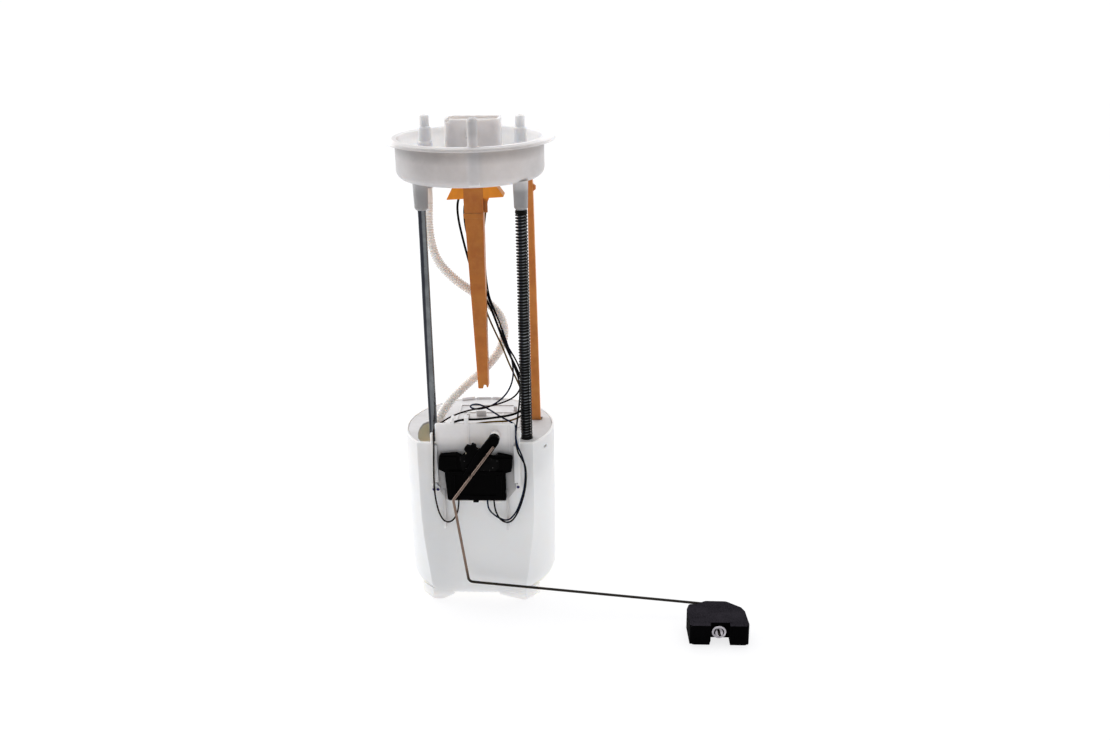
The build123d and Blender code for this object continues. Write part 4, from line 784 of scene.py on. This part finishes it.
# ---------------------------------------------------------------- the coil spring
def coil_spring():
    """Round wire wound on the right guide rod: two closed turns at each end and open turns between, a little uneven."""
    z0, z1, x, y, wire_r, mean = 0.168, 0.3955, 0.0495, -0.035, 0.00070, 0.00505
    turns = 79.0
    per = 30
    n = int(turns * per)
    q = np.linspace(0, turns, n + 1)
    closed = 2.0
    rise = np.where((q < closed) | (q > turns - closed), 0.00145, 1.0)
    rise = np.ones_like(q)
    rise[(q < closed) | (q > turns - closed)] = 0.50
    rise *= 1 + 0.05 * np.sin(q * 0.9) + 0.035 * np.sin(q * 0.37 + 1.0)
    z = np.concatenate([[0], np.cumsum((rise[1:] + rise[:-1]) / 2)])
    z = z0 + wire_r + (z1 - z0 - 2 * wire_r) * z / z[-1]
    wave_x = 0.00010 * np.sin((z - z0) / 0.021) * np.sin((z - z0) / (z1 - z0) * math.pi)
    wave_y = 0.00010 * np.cos((z - z0) / 0.017) * np.sin((z - z0) / (z1 - z0) * math.pi)
    centres = np.stack([x + wave_x + mean * np.cos(2 * math.pi * q), y + wave_y + mean * np.sin(2 * math.pi * q), z], 1)
    o = tube_mesh("spring_coils", centres, np.full(len(centres), wire_r), 10, SPRING)
    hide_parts("coil_spring")
    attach(o, "reservoir")
    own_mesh(o)
    return o


coil_spring()


def valve_spring():
    """The small spring over the pump's check valve, whose seat is in the manifold: a fixed helix."""
    z0, z1, x, y, wire_r, mean, turns, per = 0.1138, 0.127, 0.005, 0.017, 0.00027, 0.00205, 9.0, 28
    n = int(turns * per)
    q = np.linspace(0, turns, n + 1)
    rise = np.where((q < 1.0) | (q > turns - 1.0), 0.45, 1.0)
    z = np.concatenate([[0], np.cumsum((rise[1:] + rise[:-1]) / 2)])
    z = z0 + wire_r + (z1 - z0 - 2 * wire_r) * z / z[-1]
    centres = np.stack([x + mean * np.cos(2 * math.pi * q), y + mean * np.sin(2 * math.pi * q), z], 1)
    o = tube_mesh("valve_spring_coils", centres, np.full(len(centres), wire_r), 8, SPRING_STEEL)
    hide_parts("check_valve_spring")
    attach(o, "reservoir")
    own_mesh(o)
    return o


valve_spring()


# ---------------------------------------------------------------- floor, light
def floor_and_light():
    k = Mat("pale_floor")
    cloud = k.noise(3.0, 3, 0.5)
    k.link(k.ramp(cloud, [(0.3, (0.23, 0.23, 0.232)), (0.7, (0.25, 0.25, 0.252))]), k.b.inputs["Base Color"])
    k.put(Roughness=0.8, Specular_IOR_Level=0.1)
    k.b.inputs["Emission Color"].default_value = (1.0, 1.0, 1.01, 1)
    k.b.inputs["Emission Strength"].default_value = 0.775
    me = bpy.data.meshes.new("floor")
    s = 60.0
    me.from_pydata([(-s, -s, -0.0004), (s, -s, -0.0004), (s, s, -0.0004), (-s, s, -0.0004)], [], [(0, 1, 2, 3)])
    me.materials.append(k.m)
    o = bpy.data.objects.new("floor", me)
    scene.collection.objects.link(o)

    w = bpy.data.worlds.new("studio")
    scene.world = w
    w.use_nodes = True
    t = w.node_tree
    t.nodes.clear()
    out = t.nodes.new("ShaderNodeOutputWorld")
    bg = t.nodes.new("ShaderNodeBackground")
    seen = t.nodes.new("ShaderNodeBackground")
    co = t.nodes.new("ShaderNodeTexCoord")
    sep = t.nodes.new("ShaderNodeSeparateXYZ")
    t.links.new(co.outputs["Generated"], sep.inputs[0])

    def span(socket, lo, hi, a, b):
        n = t.nodes.new("ShaderNodeMapRange")
        n.interpolation_type = "SMOOTHSTEP"
        n.inputs["From Min"].default_value, n.inputs["From Max"].default_value = lo, hi
        n.inputs["To Min"].default_value, n.inputs["To Max"].default_value = a, b
        t.links.new(socket, n.inputs["Value"])
        return n.outputs[0]

    def add(a, b):
        n = t.nodes.new("ShaderNodeMath")
        n.operation = "ADD"
        t.links.new(a, n.inputs[0])
        t.links.new(b, n.inputs[1])
        return n.outputs[0]

    # dim in front, bright behind and to the left, with a softbox's worth of light above
    level = add(span(sep.outputs["Y"], -0.35, 0.55, 0.22, 0.90), span(sep.outputs["X"], -0.2, -0.9, 0.0, 0.22))
    level = add(level, span(sep.outputs["X"], 0.2, 0.9, 0.0, 0.22))
    level = add(level, span(sep.outputs["Z"], 0.45, 0.9, 0.0, 0.55))
    t.links.new(level, bg.inputs["Strength"])
    bg.inputs["Color"].default_value = (1.0, 1.0, 1.0, 1)
    seen.inputs["Color"].default_value = (0.97, 0.97, 0.985, 1)
    path = t.nodes.new("ShaderNodeLightPath")
    mix = t.nodes.new("ShaderNodeMixShader")
    t.links.new(path.outputs["Is Camera Ray"], mix.inputs[0])
    t.links.new(bg.outputs[0], mix.inputs[1])
    t.links.new(seen.outputs[0], mix.inputs[2])
    t.links.new(mix.outputs[0], out.inputs[0])

    def area(name, loc, aim, size, power, colour=(1, 1, 1)):
        d = bpy.data.lights.new(name, "AREA")
        d.shape = "RECTANGLE"
        d.size, d.size_y = size
        d.energy = power
        d.color = colour
        l = bpy.data.objects.new(name, d)
        scene.collection.objects.link(l)
        l.location = loc
        l.rotation_mode = "QUATERNION"
        l.rotation_quaternion = (Vector(aim) - Vector(loc)).to_track_quat("-Z", "Y")

    area("key_left_behind", (-1.5, 0.55, 0.9), (0, 0, 0.25), (1.2, 1.2), 13)
    area("top_soft", (0.0, 0.7, 1.8), (0.05, 0, 0.3), (1.6, 1.2), 8)


floor_and_light()
scene.view_settings.view_transform = "Standard"
scene.view_settings.look = "None"
scene.view_settings.exposure = 0.0
scene.view_settings.gamma = 1.0
